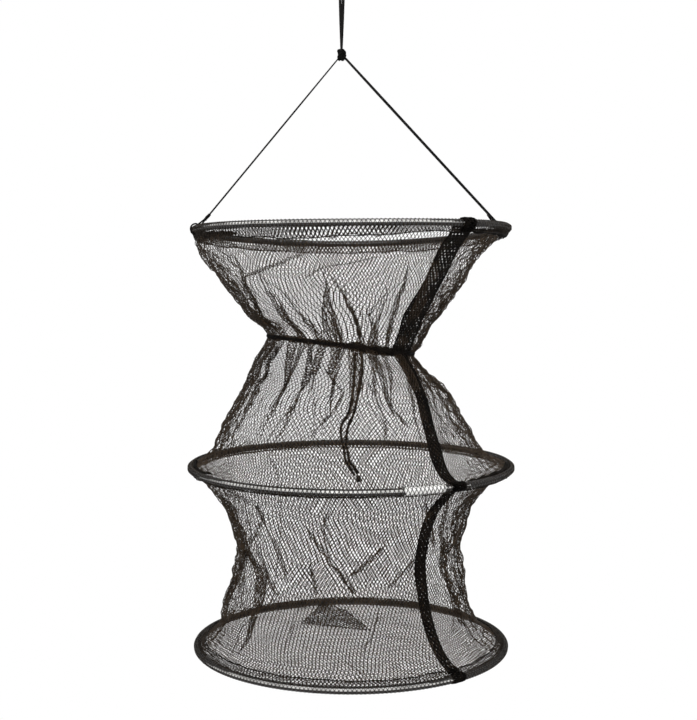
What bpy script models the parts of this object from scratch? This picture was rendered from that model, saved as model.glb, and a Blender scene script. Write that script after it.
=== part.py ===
"""Collapsible fishing keepnet, hanging from its cord harness.

Three plastic hoops are sewn into hems of one long tube of knotless netting.
A drawstring gathers the netting into a narrow throat between the upper two hoops.
The frame is in metres, +Z up, with its origin where the hanging loop bears on its hook.
The hoops share a vertical axis that stands a little to the right of the loop.
Azimuths are in degrees from +X, turning towards +Y, so the front of the net is at -90.
"""

import math
from dataclasses import astuple, dataclass

import bmesh
import bpy
from mathutils import Matrix, Vector

MM = 0.001
COLLECTION_NAME = "fishing_keepnet"

# Driving dimensions in millimetres
HOOP_AXIS_X = 9.0
TUBE_RADIUS = 3.15
TUBE_SEGMENTS = 40
TUBE_SIDES = 8
FIT_GAP = 0.3
JOINT_GAP = 0.6
SLEEVE_WALL = 0.4
HEM_WALL = 0.4
NET_WALL = 0.8
SEAM_WALL = 1.8
CORD_RADIUS = 1.0
TAPE_WIDTH = 3.0
TAPE_THICKNESS = 0.9
LOOP_CORD_RADIUS = 0.8
TIE_CORD_RADIUS = 0.75
TIE_KNOT_RADIUS = 3.0
THROAT_KNOT_RADIUS = 3.6
KNOT_GAP = 0.35


@dataclass(frozen=True)
class Ring:
    """A hoop or the throat: a round path with a lean, and a saddle warp where its ties lift it."""

    radius: float
    height: float
    centre_x: float = HOOP_AXIS_X
    lean_x: float = 0.0
    lean_y: float = 0.0
    warp: float = 0.0
    joint_azimuth: float = 0.0

    def point(self, azimuth, across=0.0, up=0.0):
        """Point beside the centreline, across outwards and up along +Z, in millimetres."""
        angle = math.radians(azimuth)
        x = self.radius * math.cos(angle)
        y = self.radius * math.sin(angle)
        z = self.height + self.lean_x * x + self.lean_y * y + self.warp * math.cos(2 * angle)
        reach = 1 + across / self.radius
        return Vector((self.centre_x + x * reach, y * reach, z + up))


TOP_HOOP = Ring(155.0, -256.7, lean_x=0.008, lean_y=-0.053, warp=2.0, joint_azimuth=115.0)
THROAT = Ring(72.0, -369.0, centre_x=-1.5, lean_x=-0.126, lean_y=-0.068)
MIDDLE_HOOP = Ring(160.0, -489.8, joint_azimuth=-66.0)
BOTTOM_HOOP = Ring(155.2, -670.7, joint_azimuth=115.0)

# The harness: an apex knot under the hanging loop, and a tie on each side of the top hoop
APEX_KNOT = Vector((-0.4, 0.0, -81.7))
APEX_KNOT_HALF = Vector((4.3, 3.4, 6.4))
TIE_AZIMUTH_LEFT = 195.0
TIE_AZIMUTH_RIGHT = 15.0
TIE_CLEARANCE_ANGLE = 16.0
TIE_KNOT_LEFT = Vector((-129.6, -38.0, -242.7))
TIE_KNOT_RIGHT = Vector((158.9, 39.2, -247.4))
LEG_ROOT = Vector((-0.2, 0.0, -84.0))
LOOP_EYE_WIDTH = 12.0
LOOP_EYE_HEIGHT = 34.0
LOOP_TWIST_TURNS = 2.5
LOOP_STRAND_GAP = 0.25
LOOP_SPREAD = 0.35
LOOP_EYE_ROUNDNESS = 0.8

# The throat's knot stands inside the ring, with the drawstring's two tails under it
THROAT_KNOT_AZIMUTH = -76.4
THROAT_KNOT_INSET = 8.0
THROAT_KNOT_REACH = 7.0
THROAT_EDGE_ROOM = 0.5
TAIL_DEPTH_Y = -62.0
TAIL_RIGHT_ROUTE = (
    (17.2, -372.2), (19.4, -377.0), (19.8, -384.0), (18.6, -396.0), (15.8, -412.0),
    (12.9, -425.0), (10.2, -434.0), (6.2, -443.0), (4.6, -452.0), (4.3, -461.0),
    (6.2, -469.0), (7.0, -476.0), (11.4, -482.0), (15.6, -488.4),
)
TAIL_LEFT_ROUTE = (
    (13.6, -372.2), (12.4, -377.5), (12.2, -386.0), (11.8, -398.0), (9.9, -416.0),
    (7.4, -427.0), (4.2, -434.5), (0.0, -441.5), (-0.9, -449.0), (0.6, -458.0),
    (2.4, -466.0), (3.2, -474.0), (6.9, -481.5), (12.4, -490.2),
)
END_KNOT = Vector((16.2, TAIL_DEPTH_Y, -493.4))
END_KNOT_HALF = Vector((2.6, 2.6, 3.4))

# The seam where the netting's two edges are sewn, by azimuth at each ring
SEAM_AZIMUTH_TOP = -50.5
SEAM_AZIMUTH_THROAT = -36.0
SEAM_AZIMUTH_MIDDLE = -52.8
SEAM_AZIMUTH_WAIST = -54.0
SEAM_AZIMUTH_BOTTOM = -49.7

# The panels' netting: a lattice of diamonds round each panel that stands for the fine mesh
PANEL_COLUMNS = 20
PANEL_LEVELS = 3
PANEL_STRAND = 2.4
PANEL_EDGE_SLACK = 0.3
SEAM_EDGE_SLACK = 0.2
LATTICE_TOLERANCE = 0.001

# The floor's netting: a flat lattice of diamonds that stands for the fine mesh
FLOOR_RADIUS = 149.7
FLOOR_THICKNESS = 0.8
FLOOR_BORDER = 5.0
DIAMOND_WIDTH = 28.0
DIAMOND_HEIGHT = 48.5
DIAMOND_STRAND = 2.4
DIAMOND_LEAST_AREA = 60.0


@dataclass(frozen=True)
class Row:
    """One level of a netting panel: how far down it is, its mean radius, and its centre's shift."""

    fraction: float
    radius: float
    shift: float
    seam_azimuth: float
    fold: float


@dataclass(frozen=True)
class Panel:
    """A stretch of the netting tube between two rings, open along the seam."""

    upper: Ring
    lower: Ring
    rows: tuple
    folds: int
    fold_phase: float
    seam_half_width: float


THROAT_SHIFT = THROAT.centre_x - HOOP_AXIS_X

UPPER_PANEL = Panel(
    upper=TOP_HOOP,
    lower=THROAT,
    rows=(
        Row(0.0, TOP_HOOP.radius - 1.4, 0.0, SEAM_AZIMUTH_TOP, 0.0),
        Row(0.13, 142.5, -7.5, -49.0, 0.6),
        Row(0.36, 124.0, -8.5, -47.0, 1.5),
        Row(0.62, 102.0, -8.5, -43.0, 2.4),
        Row(0.83, 83.0, -8.0, -39.0, 3.2),
        Row(1.0, THROAT.radius, THROAT_SHIFT, SEAM_AZIMUTH_THROAT, 3.2),
    ),
    folds=10,
    fold_phase=0.0,
    seam_half_width=9.0,
)
MIDDLE_PANEL = Panel(
    upper=THROAT,
    lower=MIDDLE_HOOP,
    rows=(
        Row(0.0, THROAT.radius, THROAT_SHIFT, SEAM_AZIMUTH_THROAT, 3.2),
        Row(0.12, 82.0, -12.5, -39.0, 3.4),
        Row(0.33, 98.0, -9.5, -45.0, 2.6),
        Row(0.6, 117.0, -8.0, -50.0, 1.8),
        Row(0.84, 133.0, -4.0, -52.0, 0.9),
        Row(1.0, MIDDLE_HOOP.radius - 1.8, 0.0, SEAM_AZIMUTH_MIDDLE, 0.0),
    ),
    folds=10,
    fold_phase=0.0,
    seam_half_width=6.5,
)
LOWER_PANEL = Panel(
    upper=MIDDLE_HOOP,
    lower=BOTTOM_HOOP,
    rows=(
        Row(0.0, MIDDLE_HOOP.radius - 1.8, 0.0, SEAM_AZIMUTH_MIDDLE, 0.0),
        Row(0.13, 130.0, -3.5, -53.0, 2.0),
        Row(0.3, 117.0, -4.0, SEAM_AZIMUTH_WAIST, 3.6),
        Row(0.5, 111.0, -4.0, SEAM_AZIMUTH_WAIST, 4.2),
        Row(0.7, 116.5, -4.0, -53.0, 3.4),
        Row(0.88, 132.0, -2.5, -51.0, 1.8),
        Row(1.0, BOTTOM_HOOP.radius - 1.4, 0.0, SEAM_AZIMUTH_BOTTOM, 0.0),
    ),
    folds=8,
    fold_phase=0.3,
    seam_half_width=6.5,
)


# Scene, collections and materials


def clear_scene():
    """Remove whatever the scene holds."""
    for item in list(bpy.data.objects):
        bpy.data.objects.remove(item, do_unlink=True)


def new_collection():
    """The collection that holds the keepnet's pieces."""
    collection = bpy.data.collections.new(COLLECTION_NAME)
    bpy.context.scene.collection.children.link(collection)
    return collection


def make_material(name, color, roughness):
    """A plain plastic or textile finish."""
    material = bpy.data.materials.new(name)
    material.use_nodes = True
    shader = material.node_tree.nodes["Principled BSDF"]
    shader.inputs["Base Color"].default_value = (*color, 1.0)
    shader.inputs["Roughness"].default_value = roughness
    shader.inputs["Metallic"].default_value = 0.0
    return material


def add_object(collection, name, data, color, roughness):
    """Link an object under its node's name, with a material of its own."""
    item = bpy.data.objects.new(name, data)
    collection.objects.link(item)
    item.data.materials.append(make_material(name + "_finish", color, roughness))
    return item


NET_COLOR = (0.035, 0.032, 0.028)
TUBE_COLOR = (0.030, 0.030, 0.032)
SLEEVE_COLOR = (0.72, 0.72, 0.70)
CORD_COLOR = (0.018, 0.018, 0.020)
NET_ROUGHNESS = 0.75
TUBE_ROUGHNESS = 0.38
CORD_ROUGHNESS = 0.7


# Shared ways of making a solid


def loft(name, sections, around=False, section_closed=True):
    """Skin a list of equal sections, in millimetres, into a mesh in metres.

    around joins the last section to the first. Closed sections with open ends are capped.
    """
    mesh = bpy.data.meshes.new(name)
    shape = bmesh.new()
    rings = [[shape.verts.new(point * MM) for point in section] for section in sections]
    count = len(rings[0])
    last = len(rings) if around else len(rings) - 1
    steps = count if section_closed else count - 1
    for index in range(last):
        near = rings[index]
        far = rings[(index + 1) % len(rings)]
        for step in range(steps):
            after = (step + 1) % count
            shape.faces.new((near[step], near[after], far[after], far[step]))
    if section_closed and not around:
        shape.faces.new(rings[0])
        shape.faces.new(rings[-1])
    bmesh.ops.recalc_face_normals(shape, faces=shape.faces)
    shape.to_mesh(mesh)
    shape.free()
    mesh.shade_smooth()
    mesh.set_sharp_from_angle(angle=math.radians(50))
    return mesh


def tube_curve(name, points, radius, level=False):
    """A round cord or tube along points given in millimetres, with filled ends.

    level keeps the section upright on a path that never turns vertical.
    """
    curve = bpy.data.curves.new(name, "CURVE")
    curve.dimensions = "3D"
    curve.twist_mode = "Z_UP" if level else "MINIMUM"
    curve.bevel_depth = radius * MM
    curve.bevel_resolution = 2
    curve.use_fill_caps = True
    spline = curve.splines.new("POLY")
    spline.points.add(len(points) - 1)
    for target, point in zip(spline.points, points):
        target.co = (point.x * MM, point.y * MM, point.z * MM, 1.0)
    spline.use_smooth = True
    return curve


def smooth_route(points, spacing):
    """Points read at an even spacing from a Catmull-Rom curve through the given ones."""
    fine = []
    last = len(points) - 1
    parts = 12
    for index in range(last):
        before = points[max(index - 1, 0)]
        start = points[index]
        end = points[index + 1]
        after = points[min(index + 2, last)]
        for part in range(parts):
            t = part / parts
            pull = (
                2 * start
                + (end - before) * t
                + (2 * before - 5 * start + 4 * end - after) * t * t
                + (3 * start - before - 3 * end + after) * t * t * t
            )
            fine.append(pull * 0.5)
    fine.append(points[-1])
    total = sum((b - a).length for a, b in zip(fine, fine[1:]))
    count = max(2, round(total / spacing))
    route = [fine[0]]
    travelled = 0.0
    for start, end in zip(fine, fine[1:]):
        length = (end - start).length
        while len(route) < count and travelled + length >= total * len(route) / count:
            wanted = total * len(route) / count - travelled
            route.append(start.lerp(end, wanted / length))
        travelled += length
    route.append(fine[-1])
    return route


def knot_mesh(name, centre, half, axis=Vector((0, 0, 1))):
    """A tightened knot: a rounded lump with a groove between its two wraps."""
    profile = (
        (1.0, 0.0), (0.86, 0.52), (0.5, 0.95), (0.16, 0.88),
        (-0.2, 1.0), (-0.62, 0.84), (-0.9, 0.45), (-1.0, 0.0),
    )
    sides = 10
    mesh = bpy.data.meshes.new(name)
    shape = bmesh.new()
    spine = [shape.verts.new((out * half.x, 0.0, rise * half.z)) for rise, out in profile]
    edges = [shape.edges.new(pair) for pair in zip(spine, spine[1:])]
    bmesh.ops.spin(
        shape, geom=spine + edges, cent=(0, 0, 0), axis=(0, 0, 1),
        angle=math.tau, steps=sides, use_merge=True,
    )
    bmesh.ops.remove_doubles(shape, verts=shape.verts, dist=0.001)
    bmesh.ops.scale(shape, verts=shape.verts, vec=(1.0, half.y / half.x, 1.0))
    turn = Vector((0, 0, 1)).rotation_difference(axis.normalized()).to_matrix()
    bmesh.ops.rotate(shape, verts=shape.verts, cent=(0, 0, 0), matrix=turn)
    bmesh.ops.translate(shape, verts=shape.verts, vec=centre)
    bmesh.ops.scale(shape, verts=shape.verts, vec=(MM, MM, MM))
    bmesh.ops.recalc_face_normals(shape, faces=shape.faces)
    shape.to_mesh(mesh)
    shape.free()
    mesh.shade_smooth()
    return mesh


# Hoops, their joining sleeves and the hems sewn round them


def joint_step():
    """Degrees from one section of a hoop to the next."""
    return 360.0 / TUBE_SEGMENTS


def make_hoop_tube(collection, name, ring):
    """The bent tube, whose ends butt inside the joining sleeve."""
    gap = math.degrees(JOINT_GAP / 2 / ring.radius)
    azimuths = [ring.joint_azimuth + joint_step() * index for index in range(TUBE_SEGMENTS + 1)]
    azimuths[0] += gap
    azimuths[-1] -= gap
    points = [ring.point(azimuth) for azimuth in azimuths]
    curve = tube_curve(name, points, TUBE_RADIUS, level=True)
    return add_object(collection, name, curve, TUBE_COLOR, TUBE_ROUGHNESS)


def circle_section(ring, azimuth, radius, sides):
    """A round section of a ring at an azimuth, square to its path."""
    section = []
    for index in range(sides):
        angle = math.tau * (index + 0.5) / sides
        section.append(ring.point(azimuth, radius * math.cos(angle), radius * math.sin(angle)))
    return section


def sleeve_radius():
    """Outer radius of the joining sleeve."""
    return TUBE_RADIUS + FIT_GAP + SLEEVE_WALL


def make_sleeve(collection, name, ring, color):
    """The short sleeve over the hoop's butt joint: an outer wall, a bore and two end faces."""
    azimuths = [ring.joint_azimuth + joint_step() * offset for offset in (-1, 0, 1)]
    sides = 12
    bore = (TUBE_RADIUS + FIT_GAP) / math.cos(math.pi / sides)
    outer = [circle_section(ring, azimuth, sleeve_radius(), sides) for azimuth in azimuths]
    inner = [circle_section(ring, azimuth, bore, sides) for azimuth in reversed(azimuths)]
    mesh = loft(name, outer + inner, around=True)
    return add_object(collection, name, mesh, color, TUBE_ROUGHNESS)


def hem_radius(ring, azimuth):
    """Inner radius of the hem, which swells where it passes over the joining sleeve."""
    plain = (TUBE_RADIUS + FIT_GAP) / math.cos(math.pi / TUBE_SIDES)
    swollen = (sleeve_radius() + FIT_GAP) / math.cos(math.pi / TUBE_SIDES)
    turn = abs((azimuth - ring.joint_azimuth + 180.0) % 360.0 - 180.0)
    steps_away = turn / joint_step()
    if steps_away < 1.5:
        return swollen
    if steps_away < 2.5:
        return (plain + swollen) / 2
    return plain


def hem_section(ring, azimuth):
    """A C-shaped section round the tube, open at the bottom where the netting hangs from it."""
    inside = hem_radius(ring, azimuth)
    step = 360.0 / TUBE_SIDES
    angles = [math.radians(step * (index - 0.5)) for index in range(TUBE_SIDES - 1)]
    inner = [ring.point(azimuth, inside * math.cos(a), inside * math.sin(a)) for a in angles]
    outside = inside + HEM_WALL
    outer = [ring.point(azimuth, outside * math.cos(a), outside * math.sin(a)) for a in reversed(angles)]
    return inner + outer


def make_hem(collection, name, ring):
    """The netting's hem, folded over the hoop all the way round."""
    azimuths = [ring.joint_azimuth + joint_step() * index for index in range(TUBE_SEGMENTS)]
    mesh = loft(name, [hem_section(ring, azimuth) for azimuth in azimuths], around=True)
    return add_object(collection, name, mesh, NET_COLOR, NET_ROUGHNESS)


# Netting panels and their seams


def edge_room(ring, azimuth):
    """How far above or below a ring's centreline a panel's edge stays."""
    if ring is THROAT:
        return CORD_RADIUS + FIT_GAP + THROAT_EDGE_ROOM
    room = hem_radius(ring, azimuth) + HEM_WALL + FIT_GAP + PANEL_EDGE_SLACK
    if ring is TOP_HOOP:
        for tie in (TIE_AZIMUTH_LEFT, TIE_AZIMUTH_RIGHT):
            turn = abs((azimuth - tie + 180.0) % 360.0 - 180.0)
            if turn < TIE_CLEARANCE_ANGLE:
                room += 2 * TIE_CORD_RADIUS + FIT_GAP
    return room


def panel_point(panel, row, azimuth, fold_angle):
    """Point on a panel's middle surface."""
    top = panel.upper.point(azimuth).z - edge_room(panel.upper, azimuth)
    bottom = panel.lower.point(azimuth).z + edge_room(panel.lower, azimuth)
    radius = row.radius + row.fold * math.cos(fold_angle)
    angle = math.radians(azimuth)
    x = HOOP_AXIS_X + row.shift + radius * math.cos(angle)
    y = radius * math.sin(angle)
    return Vector((x, y, top + (bottom - top) * row.fraction))


def thicken(item, thickness):
    """Give an open surface its thickness, half to each side."""
    wall = item.modifiers.new("wall", "SOLIDIFY")
    wall.thickness = thickness * MM
    wall.offset = 0.0
    wall.use_even_offset = True
    return item


def row_at(panel, fraction):
    """A panel's row at any fraction of the way down, between the rows that it is given by."""
    for above, below in zip(panel.rows, panel.rows[1:]):
        if fraction <= below.fraction:
            break
    share = (fraction - above.fraction) / (below.fraction - above.fraction)
    values = [a + (b - a) * share for a, b in zip(astuple(above), astuple(below))]
    return Row(*values)


def diamond_lattice(columns, levels):
    """A flat sheet of diamonds one unit wide and one unit high, cut to a rectangle."""
    shape = bmesh.new()
    count = columns + levels + 3
    bmesh.ops.create_grid(shape, x_segments=count, y_segments=count, size=count / 2)
    upright = Matrix.Rotation(math.pi / 4, 3, "Z")
    bmesh.ops.rotate(shape, verts=shape.verts, cent=(0, 0, 0), matrix=upright)
    shrink = math.sqrt(0.5)
    bmesh.ops.scale(shape, verts=shape.verts, vec=(shrink, shrink, 1.0))
    knot = min((vert.co for vert in shape.verts), key=lambda place: place.length)
    bmesh.ops.translate(shape, verts=shape.verts, vec=Vector((columns / 2, levels // 2, 0.0)) - knot)
    cuts = (
        ((0, 0, 0), (-1, 0, 0)), ((columns, 0, 0), (1, 0, 0)),
        ((0, 0, 0), (0, -1, 0)), ((0, levels, 0), (0, 1, 0)),
    )
    for place, way in cuts:
        everything = shape.verts[:] + shape.edges[:] + shape.faces[:]
        bmesh.ops.bisect_plane(
            shape, geom=everything, plane_co=place, plane_no=way, clear_outer=True, dist=LATTICE_TOLERANCE
        )
    return shape


def netting_point(panel, across, down):
    """Point on a panel's netting, by shares of the way round from its seam edge and down."""
    row = row_at(panel, down)
    edge = math.degrees(panel.seam_half_width / row.radius)
    azimuth = row.seam_azimuth + edge + (360.0 - 2 * edge) * across
    return panel_point(panel, row, azimuth, math.tau * (panel.folds * across + panel.fold_phase))


def netting_normal(panel, across, down):
    """Outward direction of a panel's netting."""
    small = 0.001
    round_way = netting_point(panel, across + small, down) - netting_point(panel, across - small, down)
    down_way = netting_point(panel, across, down + small) - netting_point(panel, across, down - small)
    return down_way.cross(round_way).normalized()


def make_panel(collection, name, panel):
    """Netting round the net, with its gathers and folds, from seam edge to seam edge."""
    width = math.tau * panel.rows[len(panel.rows) // 2].radius
    height = panel.upper.height - panel.lower.height
    shape = diamond_lattice(PANEL_COLUMNS, PANEL_LEVELS)
    rim = [edge for edge in shape.edges if edge.is_boundary]
    seam_edges = [edge for edge in rim if abs(edge.verts[0].co.x - edge.verts[1].co.x) < LATTICE_TOLERANCE]
    bmesh.ops.subdivide_edges(shape, edges=seam_edges, cuts=1)
    bmesh.ops.scale(shape, verts=shape.verts, vec=(width / PANEL_COLUMNS, height / PANEL_LEVELS, 1.0))
    bmesh.ops.wireframe(
        shape, faces=shape.faces[:], thickness=PANEL_STRAND, offset=0.0,
        use_replace=True, use_boundary=True, use_even_offset=True,
    )
    for vert in shape.verts:
        across = (vert.co.x + PANEL_STRAND / 2) / (width + PANEL_STRAND)
        down = (vert.co.y + PANEL_STRAND / 2) / (height + PANEL_STRAND)
        depth = vert.co.z * NET_WALL / PANEL_STRAND
        vert.co = (netting_point(panel, across, down) + netting_normal(panel, across, down) * depth) * MM
    # The flat lattice is seen from inside the net once it is wrapped, so its faces turn over.
    # Its lowest face comes first, because the solid is sewn together from there.
    bmesh.ops.reverse_faces(shape, faces=shape.faces)
    bmesh.ops.triangulate(shape, faces=shape.faces)
    shape.faces.sort(key=lambda face: face.calc_center_median().z)
    mesh = bpy.data.meshes.new(name)
    shape.to_mesh(mesh)
    shape.free()
    return add_object(collection, name, mesh, NET_COLOR, NET_ROUGHNESS)


def make_seam(collection, name, panel):
    """The thick strip where the netting's edges are turned in and sewn together."""
    end_trim = 0.8
    columns = 3
    levels = 2 * PANEL_LEVELS
    sections = []
    for row in [row_at(panel, level / levels) for level in range(levels + 1)]:
        half = math.degrees((panel.seam_half_width - FIT_GAP - SEAM_EDGE_SLACK) / row.radius)
        fold_angle = math.tau * panel.fold_phase
        section = []
        for index in range(columns):
            azimuth = row.seam_azimuth + half * (index / (columns - 1) * 2 - 1)
            section.append(panel_point(panel, row, azimuth, fold_angle))
        sections.append(section)
    for point in sections[0]:
        point.z -= end_trim
    for point in sections[-1]:
        point.z += end_trim
    mesh = loft(name, sections, section_closed=False)
    return thicken(add_object(collection, name, mesh, NET_COLOR, NET_ROUGHNESS), SEAM_WALL)


# The floor's flat netting


def polygon_area(points):
    """Signed area of a flat outline."""
    pairs = zip(points, points[1:] + points[:1])
    return 0.5 * sum(a.x * b.y - b.x * a.y for a, b in pairs)


def clip_to_circle(points, radius, sides=40):
    """The part of a convex outline that lies inside a round border."""
    for index in range(sides):
        angle = math.tau * (index + 0.5) / sides
        outward = Vector((math.cos(angle), math.sin(angle), 0.0))
        reach = radius * math.cos(math.pi / sides)
        kept = []
        for here, there in zip(points, points[1:] + points[:1]):
            depth_here = here.dot(outward) - reach
            depth_there = there.dot(outward) - reach
            if depth_here <= 0:
                kept.append(here)
            if depth_here * depth_there < 0:
                kept.append(here.lerp(there, depth_here / (depth_here - depth_there)))
        points = kept
        if len(points) < 3:
            return []
    return points


def diamond_openings():
    """Outlines of the lattice's gaps, cut off at the border."""
    openings = []
    trim = 1 - DIAMOND_STRAND / (DIAMOND_WIDTH * math.cos(math.radians(30)))
    across = int(FLOOR_RADIUS / DIAMOND_WIDTH * 2) + 2
    along = int(FLOOR_RADIUS / DIAMOND_HEIGHT * 2) + 2
    for column in range(-across, across + 1):
        for level in range(-along, along + 1):
            centre = Vector((column * DIAMOND_WIDTH / 2, level * DIAMOND_HEIGHT, 0.0))
            if column % 2:
                centre.y += DIAMOND_HEIGHT / 2
            half_x = Vector((DIAMOND_WIDTH / 2 * trim, 0.0, 0.0))
            half_y = Vector((0.0, DIAMOND_HEIGHT / 2 * trim, 0.0))
            diamond = [centre + half_x, centre + half_y, centre - half_x, centre - half_y]
            outline = clip_to_circle(diamond, FLOOR_RADIUS - FLOOR_BORDER)
            if outline and abs(polygon_area(outline)) > DIAMOND_LEAST_AREA:
                openings.append(outline)
    return openings


def add_outline(curve, points):
    """Add one closed straight-sided outline to a flat curve."""
    spline = curve.splines.new("POLY")
    spline.points.add(len(points) - 1)
    for target, point in zip(spline.points, points):
        target.co = (point.x * MM, point.y * MM, 0.0, 1.0)
    spline.use_cyclic_u = True


def make_floor(collection, name):
    """The flat round floor inside the bottom hoop: a border with a lattice of diamonds."""
    curve = bpy.data.curves.new(name, "CURVE")
    curve.dimensions = "2D"
    curve.fill_mode = "BOTH"
    curve.extrude = FLOOR_THICKNESS / 2 * MM
    sides = 48
    border = []
    for index in range(sides):
        angle = math.tau * index / sides
        border.append(Vector((FLOOR_RADIUS * math.cos(angle), FLOOR_RADIUS * math.sin(angle), 0.0)))
    add_outline(curve, border)
    for outline in diamond_openings():
        add_outline(curve, outline)
    floor = add_object(collection, name, curve, NET_COLOR, NET_ROUGHNESS)
    floor.location = (HOOP_AXIS_X * MM, 0.0, BOTTOM_HOOP.height * MM)
    return floor


# Throat drawstring and its tails


def throat_knot_centre():
    """Centre of the drawstring's knot, inside the ring."""
    return THROAT.point(THROAT_KNOT_AZIMUTH, across=-THROAT_KNOT_INSET)


def make_throat(collection):
    """The drawn cord round the throat, its knot, its two hanging tails and their end knot."""
    first = THROAT_KNOT_AZIMUTH + math.degrees((THROAT_KNOT_RADIUS + KNOT_GAP) / (THROAT.radius - THROAT_KNOT_INSET))
    last = THROAT_KNOT_AZIMUTH + 360.0 - (first - THROAT_KNOT_AZIMUTH)
    count = 48
    points = []
    for index in range(count + 1):
        azimuth = first + (last - first) * index / count
        away = min(azimuth - first, last - azimuth) / THROAT_KNOT_REACH
        inset = THROAT_KNOT_INSET * math.exp(-away * away)
        points.append(THROAT.point(azimuth, across=-inset))
    cord = tube_curve("throat_drawstring", points, CORD_RADIUS, level=True)
    add_object(collection, "throat_drawstring", cord, CORD_COLOR, CORD_ROUGHNESS)
    half = Vector((THROAT_KNOT_RADIUS, THROAT_KNOT_RADIUS, THROAT_KNOT_RADIUS))
    knot = knot_mesh("throat_knot", throat_knot_centre(), half)
    add_object(collection, "throat_knot", knot, CORD_COLOR, CORD_ROUGHNESS)
    spacing = 5.0 * CORD_RADIUS
    for name, route in (("drawstring_tail_right", TAIL_RIGHT_ROUTE), ("drawstring_tail_left", TAIL_LEFT_ROUTE)):
        through = [Vector((x, TAIL_DEPTH_Y, z)) for x, z in route]
        tail = tube_curve(name, smooth_route(through, spacing), CORD_RADIUS)
        add_object(collection, name, tail, CORD_COLOR, CORD_ROUGHNESS)
    end = knot_mesh("drawstring_end_knot", END_KNOT, END_KNOT_HALF)
    add_object(collection, "drawstring_end_knot", end, CORD_COLOR, CORD_ROUGHNESS)


# Harness


def leg_start(tie_knot):
    """Where a leg leaves the apex knot, clear of its rounded side."""
    way = (tie_knot - LEG_ROOT).normalized()
    clear = TAPE_WIDTH / 2 * 0.6 + KNOT_GAP
    point = LEG_ROOT.copy()
    while True:
        out = point - APEX_KNOT
        share = Vector(tuple(o / (h + clear) for o, h in zip(out, APEX_KNOT_HALF)))
        if share.length > 1.0:
            return point
        point += way * 0.1


def make_leg(collection, name, tie_knot, roll_start, roll_end):
    """A flat woven tape from the apex knot to a tie, turning about its own length on the way."""
    start = leg_start(tie_knot)
    run = tie_knot - start
    run = run.normalized() * (run.length - TIE_KNOT_RADIUS - KNOT_GAP)
    along = run.normalized()
    side = along.cross(Vector((0, 1, 0))).normalized()
    face = side.cross(along).normalized()
    count = 8
    sections = []
    for index in range(count + 1):
        share = index / count
        roll = math.radians(roll_start + (roll_end - roll_start) * share)
        wide = side * math.cos(roll) + face * math.sin(roll)
        thick = face * math.cos(roll) - side * math.sin(roll)
        centre = start + run * share
        half_w = TAPE_WIDTH / 2
        half_t = TAPE_THICKNESS / 2
        corners = ((half_w - half_t, -half_t), (half_w, 0.0), (half_w - half_t, half_t))
        outline = [centre + wide * w + thick * t for w, t in corners]
        outline += [centre - wide * w - thick * t for w, t in corners]
        sections.append(outline)
    mesh = loft(name, sections)
    return add_object(collection, name, mesh, CORD_COLOR, CORD_ROUGHNESS)


def make_hanging_loop(collection):
    """The doubled cord above the knot: two strands twisted together that open into an eye."""
    lay = LOOP_CORD_RADIUS + LOOP_STRAND_GAP
    foot = APEX_KNOT.z + APEX_KNOT_HALF.z + KNOT_GAP
    neck = -LOOP_EYE_HEIGHT
    rise = 26
    strand = []
    for index in range(rise + 1):
        share = index / rise
        angle = math.tau * LOOP_TWIST_TURNS * (1 - share)
        spread = lay + LOOP_SPREAD * share
        z = foot + (neck - foot) * share
        strand.append(Vector((spread * math.cos(angle), spread * math.sin(angle), z)))
    eye = []
    turn = 14
    top = LOOP_CORD_RADIUS * 0.6
    for index in range(1, turn):
        share = index / turn
        angle = math.pi * share
        width = LOOP_EYE_WIDTH / 2 * math.sin(angle) ** LOOP_EYE_ROUNDNESS
        eye.append(Vector((max(width, 0.0), 0.0, neck + (top - neck) * (1 - math.cos(angle)) / 2)))
    right = strand + [point for point in eye if point.x > strand[-1].x]
    left = [Vector((-point.x, -point.y, point.z)) for point in right]
    crown = [Vector((0.0, 0.0, LOOP_CORD_RADIUS))]
    points = smooth_route(right + crown + left[::-1], 2.6)
    shifted = [point + Vector((APEX_KNOT.x * (point.z / APEX_KNOT.z), 0.0, 0.0)) for point in points]
    cord = tube_curve("hanging_loop", shifted, LOOP_CORD_RADIUS)
    return add_object(collection, "hanging_loop", cord, CORD_COLOR, CORD_ROUGHNESS)


def tie_route(ring, azimuth, knot):
    """A cord from a tie's knot round the hemmed hoop and back to the knot."""
    centre = ring.point(azimuth)
    angle = math.radians(azimuth)
    outward = Vector((math.cos(angle), math.sin(angle), 0.0))
    up = Vector((0.0, 0.0, 1.0))
    reach = hem_radius(ring, azimuth) + HEM_WALL + FIT_GAP + TIE_CORD_RADIUS
    to_knot = knot - centre
    bearing = math.atan2(to_knot.dot(up), to_knot.dot(outward))
    distance = math.hypot(to_knot.dot(up), to_knot.dot(outward))
    flare = math.acos(reach / distance)
    steps = 14
    arc = []
    for index in range(steps + 1):
        at = bearing + flare + (math.tau - 2 * flare) * index / steps
        arc.append(centre + outward * (reach * math.cos(at)) + up * (reach * math.sin(at)))
    stand_off = TIE_KNOT_RADIUS + KNOT_GAP
    start = knot + (arc[0] - knot).normalized() * stand_off
    end = knot + (arc[-1] - knot).normalized() * stand_off
    return [start, *arc, end]


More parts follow.
